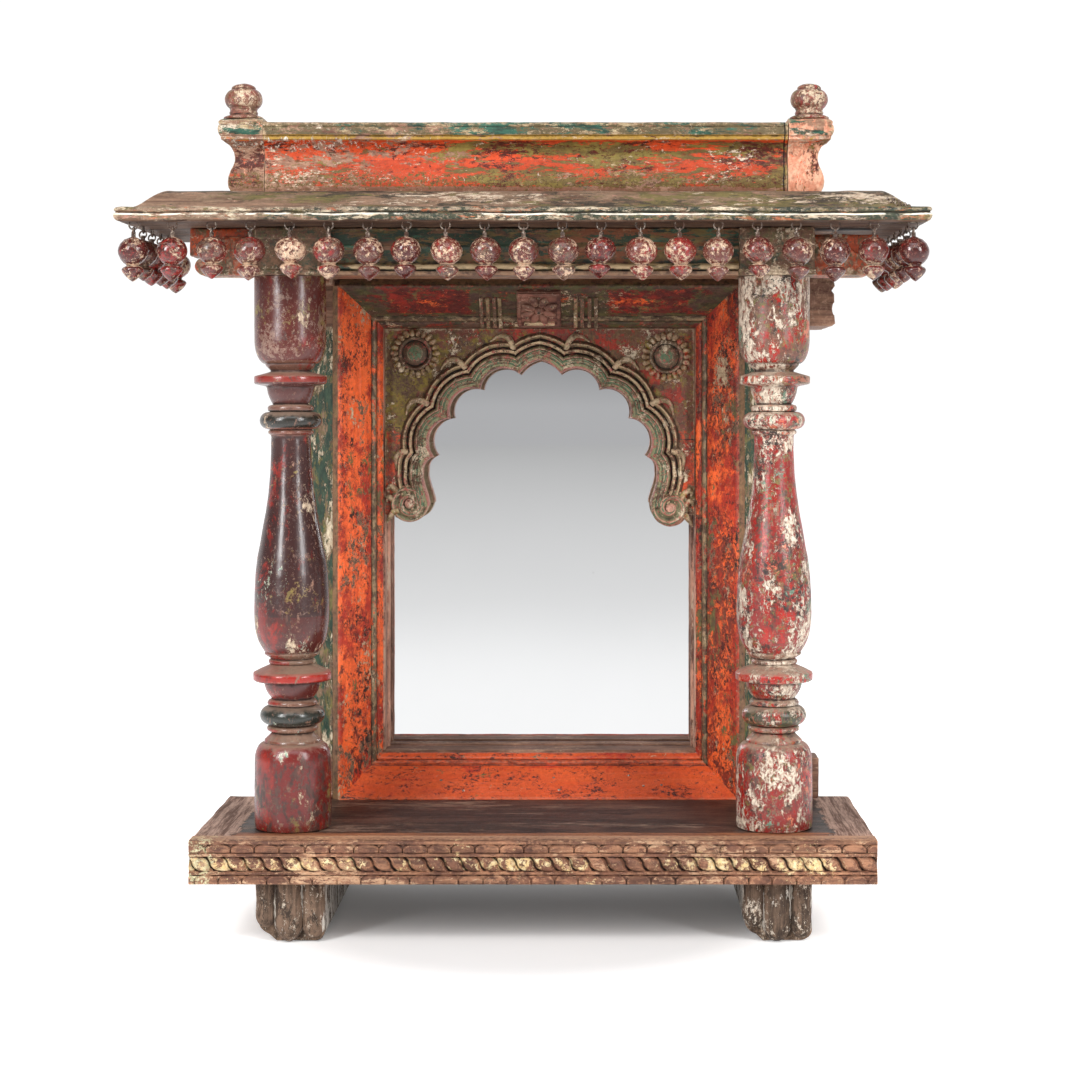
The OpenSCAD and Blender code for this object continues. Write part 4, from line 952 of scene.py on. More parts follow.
COLUMN = (
    [(40.0, 0.0), (42.6, 1.5), (43.2, 6.0), (43.4, 40.0), (43.2, 70.0)]
    + arc(31.8, 77.0, 11.2, 20.0, 8, 86, 9)
    + [(31.8, 97.4), (31.6, 100.2), (30.6, 101.0), (24.0, 107.4), (22.6, 109.0), (23.5, 109.8)]
    + arc(25.6, 113.0, 3.4, 3.2, -80, 85, 6)
    + [(24.4, 116.6)] + arc(25.4, 128.0, 11.2, 10.8, -84, 84, 12)
    + [(25.6, 139.2), (27.8, 140.0), (28.4, 142.4), (26.6, 145.2), (23.2, 146.6)]
    + [(24.8, 149.0), (27.4, 152.4), (30.0, 157.4), (31.6, 163.0), (31.8, 165.4), (33.6, 166.0)]
    + [(42.6, 167.6), (43.8, 168.6), (44.0, 175.4), (43.2, 176.8), (36.0, 180.6), (25.4, 185.2), (24.2, 186.2)]
    + arc(23.6, 189.0, 2.9, 2.8, -80, 80, 6)
    + [(23.8, 192.2), (25.0, 193.4), (30.2, 196.8), (31.0, 198.4), (30.0, 199.6), (31.4, 201.6)]
    + [(35.4, 207.6), (38.4, 214.0), (40.8, 223.6), (42.1, 234.0), (42.5, 245.0), (42.0, 266.0), (40.7, 288.0),
       (38.4, 308.0),
       (36.0, 320.0), (32.6, 339.0), (28.8, 360.0), (25.8, 381.0), (23.7, 402.0), (22.6, 423.0), (22.3, 444.0),
       (22.9, 446.4)]
    + arc(23.0, 449.4, 2.8, 2.6, -80, 80, 6)
    + [(23.6, 452.4)] + arc(25.2, 462.6, 10.0, 9.8, -84, 84, 12)
    + [(23.0, 472.8), (25.6, 474.0), (25.9, 477.6), (24.6, 479.6), (19.4, 481.2)]
    + [(21.0, 483.2), (23.6, 488.0), (25.8, 494.0), (26.8, 500.4), (28.0, 501.6), (39.6, 504.2), (40.9, 505.6),
       (41.0, 511.8),
       (40.2, 513.2), (30.0, 516.0), (22.6, 518.2), (22.4, 519.4), (27.2, 524.2), (28.0, 525.6), (28.6, 527.4)]
    + arc(28.0, 554.0, 12.4, 27.0, -80, 0, 10)
    + [(40.5, 580.0), (40.5, 620.0), (40.3, 625.6), (39.0, 626.0)])


def column(side, name, material, node, shift=0.0, lean=0.0):
    shape = Shape()
    profile = resampled([(0.4, 0.0)] + COLUMN + [(0.4, 626.0)], 3.0)
    shape.lathe(profile, (side * COL_X, COL_D, BASE_TOP), 112, 0.45, 61 + side, size=26.0)
    for p in shape.points:
        p[:, 2] = np.clip(p[:, 2], BASE_TOP, BEAM_Z)
        p[:, 0] += shift + lean * (p[:, 2] - BASE_TOP) / (BEAM_Z - BASE_TOP)
    make(name, shape, material, [node], sharp=50)


# Window frame, casing, mirror and reveal

def window_frame():
    for side, name in ((-1, "left"), (1, "right")):
        shape = Shape()
        heights = np.linspace(OPEN_Z, OPEN_TOP, 70)
        post = [(JAMB_HALF, FRAME_FRONT), (CASING_HALF, FRAME_FRONT), (CASING_HALF, FRAME_BACK),
                (JAMB_HALF, FRAME_BACK), (JAMB_HALF, FRAME_FRONT)]
        reveal = [(242.8, 257), (193, 307), (193, 334), (190, 336), (189.4, 339), (190, 342), (192.4, 343.5),
                  (192.4, 345), (190.6, 347),
                  (190.2, 350), (190.6, 353), (192.8, 355), (193, 364.5), (205, 364.5), (205, 380), (242.8, 380),
                  (242.8, 257)]
        for part, (outline, wear) in enumerate(((post, 0.7), (reveal, 0.35))):
            line = resampled(outline, 5)[:-1]
            loops = np.stack([xyz(side * line[:, 0], line[:, 1], h) for h in heights])
            loops = worn(loops, wear, 70 + side + 5 * part, 18)
            loops[..., 1] = np.clip(loops[..., 1], FRAME_FRONT, FRAME_BACK)
            shape.sweep(loops, mat=part)
        make("jamb_" + name, shape, [JAMB, REVEAL], [name + "_jamb"])
    for low, z, cover, horn, name in ((False, OPEN_TOP, 7.0, 75.0, "head"), (True, OPEN_Z, 0.0, 52.0, "sill")):
        flip = -1 if low else 1
        shape = Shape()
        outline = resampled([(257, 50), (307, 0), (342, 0), (344, -2), (350, -2), (352, 0), (364.5, 0), (364.5, 12),
                             (380, 12), (380, 50),
                             (257, 50)], 7)[:-1]
        xs = np.linspace(-CASING_HALF, CASING_HALF, 50)
        loops = np.stack([xyz(x, outline[:, 0], z + flip * outline[:, 1]) for x in xs])
        shape.sweep(worn(loops, 0.5, 75 + low, 18))
        top = 50 + cover
        ends = sorted((z, z + flip * top))
        if cover:
            shape.board((-CASING_HALF, FRAME_FRONT, z + 50), (CASING_HALF, FRAME_BACK, z + top), 2.0, 14, 0.6, 77,
                        mat=1)
        shape.board((-326, FRAME_FRONT, ends[0]), (-242.5, FRAME_BACK, ends[1]), 3.0, 9, 0.8, 78 + low)
        if low:
            shape.board((242.5, FRAME_FRONT, ends[0]), (JAMB_HALF + horn, FRAME_FRONT + 40, ends[1]), 3.0, 8, 1.0, 80)
        else:
            tip = JAMB_HALF + horn - 3.0
            scallop = arc(tip - 1, z + 22, 2.5, 8, 270, 90, 6)
            side = [(242.5, z + 1), (tip - 4, z + 1), (tip, z + 4), (tip - 1, z + 13)] + scallop + [
                (tip - 1, z + 31.5), (tip - 1, z + 40), (tip - 4, z + 44), (tip, z + 50), (tip - 2, z + 60),
                (292.5, z + 60), (291.5, z + 56), (242.5, z + 56)]
            line = resampled(side + [side[0]], 5)[:-1]
            depths = np.concatenate([[250, 251.5], np.linspace(258, 372, 12), [378.5, 380]])
            inset = np.where((depths < 251) | (depths > 379), 1.2, 0.0)
            middle = np.array([300.0, z + 28])
            loops = run_through(line, depths, inset, middle, (60, 28))
            shape.sweep(worn(loops, 0.8, 82, 16))
        make("frame_" + name + "_beam", shape, [BROWN_X, OLIVE], ["frame_" + name], sharp=28)
    shape = Shape()
    shape.board((-OPEN_HALF - 12, 369.2, OPEN_Z - 12), (OPEN_HALF + 12, FRAME_BACK, OPEN_TOP + 12), 1.5, 30, 0.3, 85)
    make("back_board", shape, BROWN_Z, ["back_panel"])
    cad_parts["mirror"].data.materials.clear()
    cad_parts["mirror"].data.materials.append(mirror_glass())


# Across a casing board, from its outer to its inner edge: share of the width, height above the splay
CASING_LINE = [(0.0, -1.4), (0.008, 0.2), (0.03, 0.8), (0.3, 1.0), (0.6, 0.9), (0.70, 0.5), (0.715, -0.2),
               (0.725, -1.6), (0.735, -1.5), (0.75, 0.9),
               (0.77, 1.9), (0.80, 1.9), (0.825, 0.9), (0.84, -1.5), (0.85, -1.6), (0.862, 0.0), (0.88, 0.7),
               (0.93, 0.8), (0.965, 0.6), (0.985, 0.2),
               (1.0, -1.2)]


def casing():
    line = resampled(np.array(CASING_LINE) * [70.7, 1.0], 3.0)
    share, lift = line[:, 0] / 70.7, line[:, 1]
    across = np.concatenate([share, [1.0, 0.0]]) * CASING_W
    proud = np.concatenate([lift, [-12.0, -12.0]]) * SPLAY
    thick = np.concatenate([0 * lift, [1.0, 1.0]])
    bands = np.concatenate([share, [1.0, -0.5]])
    for name, seed in (("casing_left", 91), ("casing_right", 92), ("casing_top", 93), ("casing_bottom", 94)):
        side = name in ("casing_left", "casing_right")
        half = (OPEN_TOP - OPEN_Z) / 2 if side else OPEN_HALF
        u = np.linspace(-1, 1, 170 if side else 130)[:, None]
        run = u * (half + CASING_W - across - 0.15)
        depth = CASING_FRONT + across - proud + 0 * u
        inward = CASING_HALF - across + 0 * u
        if side:
            points = xyz(inward - proud, depth, run + (OPEN_TOP + OPEN_Z) / 2)
            if name == "casing_left":
                points[..., 0] *= -1
        else:
            height = CASING_W - across - proud + 0 * u
            points = xyz(run, depth, OPEN_TOP + height if name == "casing_top" else OPEN_Z - height)
        points = worn(points, 0.45, seed, 16.0)
        shape = Shape()
        shape.sweep(points, np.tile(bands, len(u)))
        if name == "casing_bottom":
            nail = [(0.2, -1.0), (0.8, -0.7), (1.0, 0.0), (0.8, 0.7), (0.2, 1.0)]
            for x, t in ((-120, 0.4), (-92, 0.18), (18, 0.45), (25, 0.2), (110, 0.5), (128, 0.28), (150, 0.3)):
                q, faces = turned(nail, 10, [1.9, 1.5, 0.6])
                out = q[:, 2] + 0.9
                shape.add(xyz(x + q[:, 0], CASING_FRONT + CASING_W * t + (q[:, 1] - out) * SPLAY,
                              OPEN_Z - CASING_W * (1 - t) + (q[:, 1] + out) * SPLAY), faces, 0.0, 1)
        make(name + "_board", shape, [CASING[name], WIRE], [name], sharp=60)


def flower_block():
    """A carved flower on the top casing, in the casing's splayed plane."""
    def place(p):
        across, up, out = p[:, 0], p[:, 2], -p[:, 1]
        return xyz(across, CASING_FRONT + CASING_W / 2 - (up + out) * SPLAY,
                   OPEN_TOP + CASING_W / 2 + (up - out) * SPLAY)

    shape = Shape()
    shape.board((-27, -5.5, -29), (27, 3.0, 29), 2.0, 6, 0.6, 101, 39.0, 1, place)
    for x0, x1, out in ((-26, -22, -7.5), (22, 26, -7.5)):
        shape.board((x0, out, -28), (x1, 1.0, 28), 1.5, 6, 0.5, 102, 39.0, 1, place)
    for z0, z1 in ((-28, -24), (24, 28)):
        shape.board((-26, -7.5, z0), (26, 1.0, z1), 1.5, 6, 0.5, 103, 39.0, 1, place)
    outline = ball(16)
    for i in range(8):
        a = math.radians(45 * i + 22.5)
        q, faces = turned(outline, 16, [8.5, 3.6, 5.0])
        long = 13.5 if i % 2 else 15.5
        q = xyz((q[:, 0] + long) * math.cos(a) - q[:, 2] * math.sin(a), q[:, 1] - 6.5,
                (q[:, 0] + long) * math.sin(a) + q[:, 2] * math.cos(a))
        shape.add(place(worn(q, 0.5, 110 + i, 6)), faces, 39.0, 1)
    q, faces = turned(outline, 20, [6.0, 5.5, 6.0])
    shape.add(place(q + [0, -6.0, 0]), faces, 39.0, 1)
    # Flat dark discs on the flower: painted shade standing in for holes in the carving, which are not cut.
    for hx, hz, hr in ((0, 0, 2.2), (-9, 17, 2.8), (9, 16, 2.6), (-17, 8, 2.2), (16, 7, 2.4), (-15, -10, 2.0),
                       (15, -11, 2.2), (0, 20, 2.0)):
        q, faces = turned(outline, 12, [hr, 0.8, hr])
        proud = 11.2 if hx == 0 and hz == 0 else 7.0 if math.hypot(hx, hz) > 18.5 else 9.2
        shape.add(place(q + [hx, -proud, hz]), faces, 17.0)
    shape.board((-19, -8.6, -24), (19, -2.0, -19), 1.8, 4, 0.7, 106, 20.0, place=place)
    for x in (-71, -63, -55, -48, 45, 53, 62, 70):
        shape.board((x - 2.4, -3.4, -33), (x + 2.4, 1.0, 17), 1.8, 6, 0.5, 120 + x, 26.8 if x % 3 == 0 else 33.4,
                    place=place)
    make("flower_carving", shape, [ARCH, FLOWER], ["flower_panel"])


# Arch

ARCH_RELIEF = [(0, -3.0), (0.7, 1.5), (2, 5.4), (5, 7.6), (9, 8.0), (13, 7.2), (15.8, 5.8), (17, 3.6), (18, 1.4),
               (19, 3.6), (20.4, 6.0),
               (22.4, 6.2), (24, 4.4), (25, 1.0), (26, 2.0), (28, 4.8), (30, 5.0), (32, 2.6), (33.5, 0.0)]


def foil_radius(angle, grow):
    """Distance from the arch centre to its outline, grown outward, at an angle from the top in degrees."""
    step = 22.0
    chord = ARCH_R * math.sin(math.radians(11))
    bulge = 0.61 * chord
    r = (chord ** 2 + bulge ** 2) / (2 * bulge)
    tip = ARCH_R * math.cos(math.radians(11))
    centre = tip + bulge - r
    a = np.abs(angle)
    k = np.clip(np.round(a / step), 1, 4)
    off = np.radians(a - k * step)
    outer = centre * np.cos(off) + np.sqrt(np.maximum((r + grow) ** 2 - (centre * np.sin(off)) ** 2, 0))
    rise, shift = 0.67 * chord, 0.38 * chord
    low = tip + (rise - chord * (chord + 2 * shift) / rise) / 2
    big = math.hypot(shift, tip + rise - low)
    c, lean = math.hypot(shift, low), math.degrees(math.atan2(shift, low))
    off = np.radians(a + lean)
    top = c * np.cos(off) + np.sqrt(np.maximum((big + grow) ** 2 - (c * np.sin(off)) ** 2, 0))
    foot = np.interp(a, [80, 84, 88, 92, 96, 100, 104], [144.2, 146.4, 146.6, 144.4, 141.8, 140.4, 141.6]) + grow
    share = np.clip((a - 79) / 7, 0, 1)
    outer = outer + (foot - outer) * share * share * (3 - 2 * share)
    return np.where(a <= 11, top, outer)


def arch(side, name, node):
    angle = np.arange(0.0, 102.51, 0.3)
    angle = np.unique(np.concatenate([angle, CUSPS, [45.3]]))
    grow = np.concatenate([[0, 0.4, 0.9, 1.5, 2.2, 3.2], np.arange(4.2, 15.5, 1.0), np.arange(15.8, 34.0, 0.6)])
    sine, cosine = np.sin(np.radians(angle)), np.cos(np.radians(angle))
    to_side = OPEN_HALF / np.maximum(sine, 1e-3)
    to_top = (OPEN_TOP - ARCH_Z) / np.maximum(cosine, 1e-3)
    out = np.where(angle > 89, to_side, np.minimum(to_side, to_top)) - 0.3
    radius = foil_radius(angle[:, None], grow[None, :])
    share = np.linspace(0, 1, 17)[1:]
    wide = radius[:, -1:] + (out[:, None] - radius[:, -1:]) * share
    radius = np.concatenate([np.minimum(radius, out[:, None]), wide], 1)
    g = np.concatenate([grow, 34.5 + 30 * share])
    relief = np.interp(g, *zip(*ARCH_RELIEF)) + np.where((g > 3) & (g < 15.5), 0.55 * np.sin(2 * np.pi * g / 3.4), 0)
    cusp = np.min(np.abs(angle[:, None] - np.array(CUSPS)), 1)[:, None] * math.radians(1) * ARCH_R
    near = np.exp(-(cusp / 2.6) ** 2)
    leaf = np.where((g > 17) & (g < 27), 2.4 * np.sin(np.pi * (g - 17) / 10), 0)
    height = relief + near * np.where(g < 17, 1.2, 0) + np.exp(-(cusp / 4.5) ** 2) * leaf
    x = side * radius * sine[:, None]
    z = ARCH_Z + radius * cosine[:, None]
    flat = xyz(x, 0.0, z)
    height = height + 0.5 * lumps(flat, 9, 131) + 0.7 * lumps(flat, 30, 132)
    front = xyz(x, ARCH_FRONT - height, z)
    rear = np.stack([xyz(x[:, -1], ARCH_BACK, z[:, -1]),
                     xyz(x[:, 0], ARCH_BACK, z[:, 0])], 1)
    loops = np.concatenate([front, rear], 1)
    bands = np.broadcast_to(np.concatenate([g, [36.0, 0.5]]), (len(angle), len(g) + 2))
    shape = Shape()
    shape.sweep(loops, bands.reshape(-1))
    # The scroll that each foot ends in
    sx, sz = side * 162.5, 478.0 if side < 0 else 472.5
    r = np.concatenate([[0.4, 1.2], np.arange(2.0, 21.6, 0.8), [22.2, 22.9, 23.3]])
    theta = np.linspace(0, 2 * math.pi, 120, endpoint=False)
    turn = np.maximum(r[:, None] - 5.0, 0) / 12.5 + side * theta[None, :] / (2 * math.pi) + 0.1
    wave = np.cos(2 * np.pi * turn)
    eye = np.sqrt(np.maximum(1 - (r[:, None] / 6.0) ** 2, 0))
    coil = np.clip((r[:, None] - 4.5) / 3.0, 0, 1) * np.clip((24.0 - r[:, None]) / 4.0, 0, 1)
    h = 8.6 * np.sqrt(np.maximum(1 - (r[:, None] / 24.0) ** 4, 0)) - 1.5 + 2.3 * wave * coil + 3.0 * eye
    rx = sx + r[:, None] * np.cos(theta)
    rz = sz + r[:, None] * np.sin(theta)
    loops = xyz(rx, ARCH_FRONT - h, rz)
    back = np.stack([xyz(rx[i], ARCH_BACK - 0.5, rz[i]) for i in (-1, 0)])
    loops = worn(np.concatenate([loops, back]), 0.5, 140 + side, 9)
    # Along the coil the colour runs from green on the ridges to near black in the groove between the turns, partly
    # painted shade in the groove; the eye is a pale pink.
    band = np.concatenate([np.where(eye > 0.3, 12.6, 12.2 + 3.9 * (0.5 - 0.5 * wave) * coil).ravel(),
                           np.full(240, 15.2)])
    shape.sweep(loops, band)
    # Small leaves beside the scroll and at the cusps
    for bend, thick in ((((13, 10), (18, 18), (24, 22), (27.5, 18), (26, 14)), 3.3),
                        (((19, 2), (24, 8), (28, 7), (28, 2)), 3.1),
                        (((13, -9), (20, -11), (25, -17), (28, -24)), 3.7)):
        bend = resampled(bend, 1.4)
        t = np.linspace(0, 1, len(bend))
        path = xyz(sx + side * bend[:, 0], ARCH_FRONT - 3.0 + 1.2 * t, sz + bend[:, 1])
        shape.tube(worn(path, 0.5, 150, 6), thick * np.sin(np.pi * (0.3 + 0.62 * t)) + 0.4, 10,
                   band=np.repeat(np.where(t < 0.4, 34.0, 27.2), 10))
    for c in CUSPS:
        start = float(foil_radius(np.array([float(c)]), 25.0)[0])
        t = np.linspace(0, 1, 26)
        swing = np.radians(c + 0.3 + 8.2 * t ** 2.2)
        rise = 15.0 if c == 77 else 23.0
        rr = start + rise * np.sin(0.5 * np.pi * np.minimum(1.2 * t, 1)) - 5.0 * t ** 4
        path = xyz(side * rr * np.sin(swing), ARCH_FRONT - 2.8 + 1.2 * t, ARCH_Z + rr * np.cos(swing))
        size = 3.6 * np.sin(np.pi * (0.34 + 0.62 * t)) ** 0.9 + 0.35
        shape.tube(worn(path, 0.5, 160 + c, 6), size, 10, band=np.repeat(np.where(t < 0.3, 20.0, 27.8), 10))
    # The board's joint
    joint = 571.8 if side < 0 else 556.8
    edge = float(foil_radius(np.array([70.0]), 36.0)[0])
    ends = sorted((side * edge * 0.94, side * (OPEN_HALF - 0.5)))
    shape.board((ends[0], ARCH_FRONT - 0.9, joint), (ends[1], ARCH_FRONT + 4.0, joint + 1.3), 0.4, 5, 0.35,
                168 + side, 17.0)
    # Rosette: beads, a raised ring and a domed middle
    ox, oz = ((155.5 if side < 0 else 158.0) * side, 665.0 if side < 0 else 661.0)
    dome = [(0.3, 5.2), (6, 4.8), (10.5, 3.4), (13.0, 1.0), (14.2, 0.4), (15.2, 2.6), (16.8, 4.0), (18.4, 3.4),
            (19.4, 1.0), (20.6, 0.4), (26.0, 0.3), (26.4, -2.0),
            (0.3, -2.0)]
    disc = Shape()
    disc.lathe(resampled(dome, 1.6), (0, 0, 0), 80, 0.25, 170 + side)
    q = np.concatenate(disc.points) * [1.12, 1.12, 1.0]
    shape.add(xyz(ox + q[:, 0], ARCH_FRONT - q[:, 2], oz + q[:, 1]), disc.faces,
              np.where(np.hypot(q[:, 0], q[:, 1]) < 8.5, 9.6, 33.2))
    for i in range(22):
        a = 2 * math.pi * i / 22
        b, faces = turned(ball(15), 12, [5.2, 3.8, 3.8])
        spot = xyz(ox + (b[:, 0] + 26.0) * math.cos(a) - b[:, 2] * math.sin(a), ARCH_FRONT - 1.2 - b[:, 1],
                   oz + (b[:, 0] + 26.0) * math.sin(a) + b[:, 2] * math.cos(a))
        shape.add(worn(spot, 0.5, 180 + i, 5), faces, 34.2)
    for p in shape.points:
        p[:, 0] = np.clip(side * p[:, 0], 0.1, OPEN_HALF - 0.1) * side
    make(name, shape, ARCH, [node], sharp=55)


# Beams and brackets

def beams():
    shape = Shape()
    outline = [(46.5, 746), (45.2, 747.5), (45.0, 750.5), (46.6, 751.0), (47.6, 752.0)] + arc(47.6, 756.0, 2.6, 3.0,
                                                                                              260, 100, 6) + [
        (48.0, 760.2), (48.2, 776), (47.6, 777), (47.6, 779), (48.2, 780), (48.4, 798.5), (50, 799.8), (111, 799.8),
        (113, 798), (113, 748), (111, 746)]
    line = resampled(outline + [outline[0]], 4)[:-1]
    band = np.where((line[:, 1] > 752.6) & (line[:, 1] < 759.6) & (line[:, 0] < 50), 1.5, 0.0)
    xs = np.linspace(-230.3, 230.3, 110)
    loops = np.stack([xyz(x, line[:, 0], line[:, 1]) for x in xs])
    shape.sweep(worn(loops, 0.5, 201, 20), np.tile(band, len(xs)))
    make("front_beam_moulded", shape, beam_paint(), ["front_beam"])
    shape = Shape()
    for side in (-1, 1):
        x = side * COL_X
        shape.board((x - 42, 37, BEAM_Z), (x + 42, 121, SOFFIT), 2.5, 7, 0.8, 205 + side)
        shape.board((x - 43.5, 35.4, 746.2), (x + 43.5, 122, 752.5), 2.2, 7, 0.8, 208 + side)
        shape.board((x - 40, 35.6, 786), (x + 40, 121.5, 799.6), 2.5, 7, 0.8, 211 + side)
        # The arm, with its tongue tip and the hollow above it
        root, tip = COL_X + 40.0, 383.0
        tongue = arc(tip - 11, 757.0, 11, 10.5, 270, 405, 8)
        hollow = arc(tip - 10, 790, 21, 20.5, 268, 190, 8)[1:]
        line = ([(root, 746.5), (tip - 14, 746.5)] + tongue + [(tip - 10, 766.5), (tip - 16, 768.5)] + hollow
                + [(tip - 34, 790), (root, 790)])
        line = resampled(line + [line[0]], 4)[:-1]
        depths = np.concatenate([[54, 55.2], np.linspace(60, 98, 8), [102.8, 104]])
        inset = np.where((depths < 55) | (depths > 103), 1.4, 0.0)
        middle = np.array([345.0, 764.0])
        loops = run_through(line, depths, inset, middle, (40, 20)) * [side, 1, 1]
        shape.sweep(worn(loops, 0.8, 215 + side, 12))
        ends = sorted((side * (COL_X + 40.0), side * 389.0))
        shape.board((ends[0], 57, 768.5), (ends[1], 101, 800 if side < 0 else 793), 3.5, 6, 1.0, 218 + side)
    for p in shape.points:
        p[:, 2] = np.clip(p[:, 2], BEAM_Z, SOFFIT)
    make("bracket_blocks", shape, BRACKET, ["bracket_capitals"])
    shape = Shape()
    for side in (-1, 1):
        x = side * COL_X
        shape.board((x - 24, 120, BEAM_Z), (x + 24, FRAME_FRONT, SOFFIT), 2.5, 12, 0.7, 220 + side)
    make("side_beam_pair", shape, BROWN_X, ["side_beams"])
    shape = Shape()
    shape.board((-JAMB_HALF, FRAME_FRONT, 753), (JAMB_HALF, FRAME_BACK, SOFFIT), 2.5, 16, 0.7, 225)
    make("back_beam_plank", shape, BROWN_X, ["back_beam"])


# Eave and roof

EAVE_LINE = (
    [(9.0, 800.2), (4.5, 800.4), (1.8, 802.0), (0.4, 804.6), (0.2, 807.0), (0.8, 808.6), (2.2, 809.4), (2.6, 810.2),
     (1.6, 811.0),
     (0.6, 812.4), (0.8, 814.2), (2.0, 815.6), (4.6, 816.3), (9.0, 816.6), (10.4, 815.8), (12.0, 816.4)]
    + [(12.0 + 40 * t / 20, 816.2 + 21.8 * (1 - math.cos(math.pi * t / 20)) / 2) for t in range(1, 21)]
    + [(80, 838.0), (92, 838.0), (92, 800.2)])


def eave():
    line = resampled(EAVE_LINE + [EAVE_LINE[0]], 3.0)[:-1]
    inset, z = line[:, 0], line[:, 1]
    run = np.concatenate([[0], np.cumsum(np.hypot(np.diff(inset), np.diff(z)))])
    u = np.linspace(-1, 1, 260)[:, None]
    loops = xyz(u * (EAVE_HALF - inset), inset - EAVE_REACH, z)

    def age(points, seed):
        points = worn(points, 0.9, seed, 26.0)
        chip = np.clip(lumps(points, 16, seed + 4) - 0.25, 0, 1) * (points[..., 2] < 818)
        points[..., 2] += 1.5 * chip * np.where(points[..., 2] < 808, 1, -1)
        points[..., 2] = np.maximum(points[..., 2], SOFFIT + 0.05)
        return points

    loops = age(loops, 231)
    loops[..., 1] = np.maximum(loops[..., 1], -EAVE_REACH)
    shape = Shape()
    shape.sweep(loops, np.tile(run, len(u)))
    make("eave_front_moulding", shape, EAVE, ["eave_front"], shift=ROOF)
    shape = Shape()
    v = np.linspace(0, 1, 90)[:, None]
    for side in (-1, 1):
        depth = (inset - EAVE_REACH) * (1 - v) + WALL_D * v
        loops = xyz(side * (EAVE_HALF - inset), depth, z)
        loops = age(loops, 235 + side)
        loops[..., 0] = side * np.minimum(side * loops[..., 0], EAVE_HALF)
        shape.sweep(loops, np.tile(run, len(v)))
    for k, (x, d, z0) in enumerate(((404, -6, 826), (412, -12, 822), (419, -9, 820))):
        t = np.linspace(0, 1, 26)
        path = xyz(x + 13 * t - 5, d + 4 * np.sin(9 * t + k), z0 - 3 * t + 2.6 * np.sin(14 * t + 2 * k))
        shape.tube(path, 0.9, 7, 1)
    make("eave_side_mouldings", shape, [EAVE, WIRE], ["eave_sides"], shift=ROOF)
    shape = Shape()
    cuts = [DECK_FRONT, 118, 172, 220, WALL_D]
    for i, (a, b) in enumerate(zip(cuts[:-1], cuts[1:])):
        shape.board((-DECK_HALF, a + 0.3, 800.2), (DECK_HALF, b - 0.3, ROOF_TOP - 0.4 * (i % 2)), 1.6, 16, 0.6,
                    241 + i)
    shape.board((-JAMB_HALF, WALL_D + 0.2, 800.2), (JAMB_HALF, FRAME_BACK, 837.6), 2.0, 18, 0.6, 246)
    make("roof_boards", shape, BROWN_X, ["roof_deck"], shift=ROOF)


# Parapet and finials: the moulding's points are the inset from the cap's edge, and the height

PARAPET_LINE = (
    [(19.5, 838.0), (17.0, 839.6), (13.0, 843.0), (10.8, 848.0), (10.0, 854.0), (10.6, 860.0), (12.6, 867.0),
     (15.2, 873.0), (16.6, 878.5),
     (16.8, 883.0), (16.0, 888.0), (13.4, 893.5), (9.4, 897.8), (6.6, 900.0), (5.0, 900.6), (4.6, 901.4),
     (3.2, 901.8), (3.0, 905.4),
     (2.0, 906.0), (0.8, 906.6), (0.2, 908.4), (0.0, 912.0), (0.6, 915.0), (1.6, 916.0), (1.0, 917.0), (1.2, 919.2),
     (2.6, 920.8)])


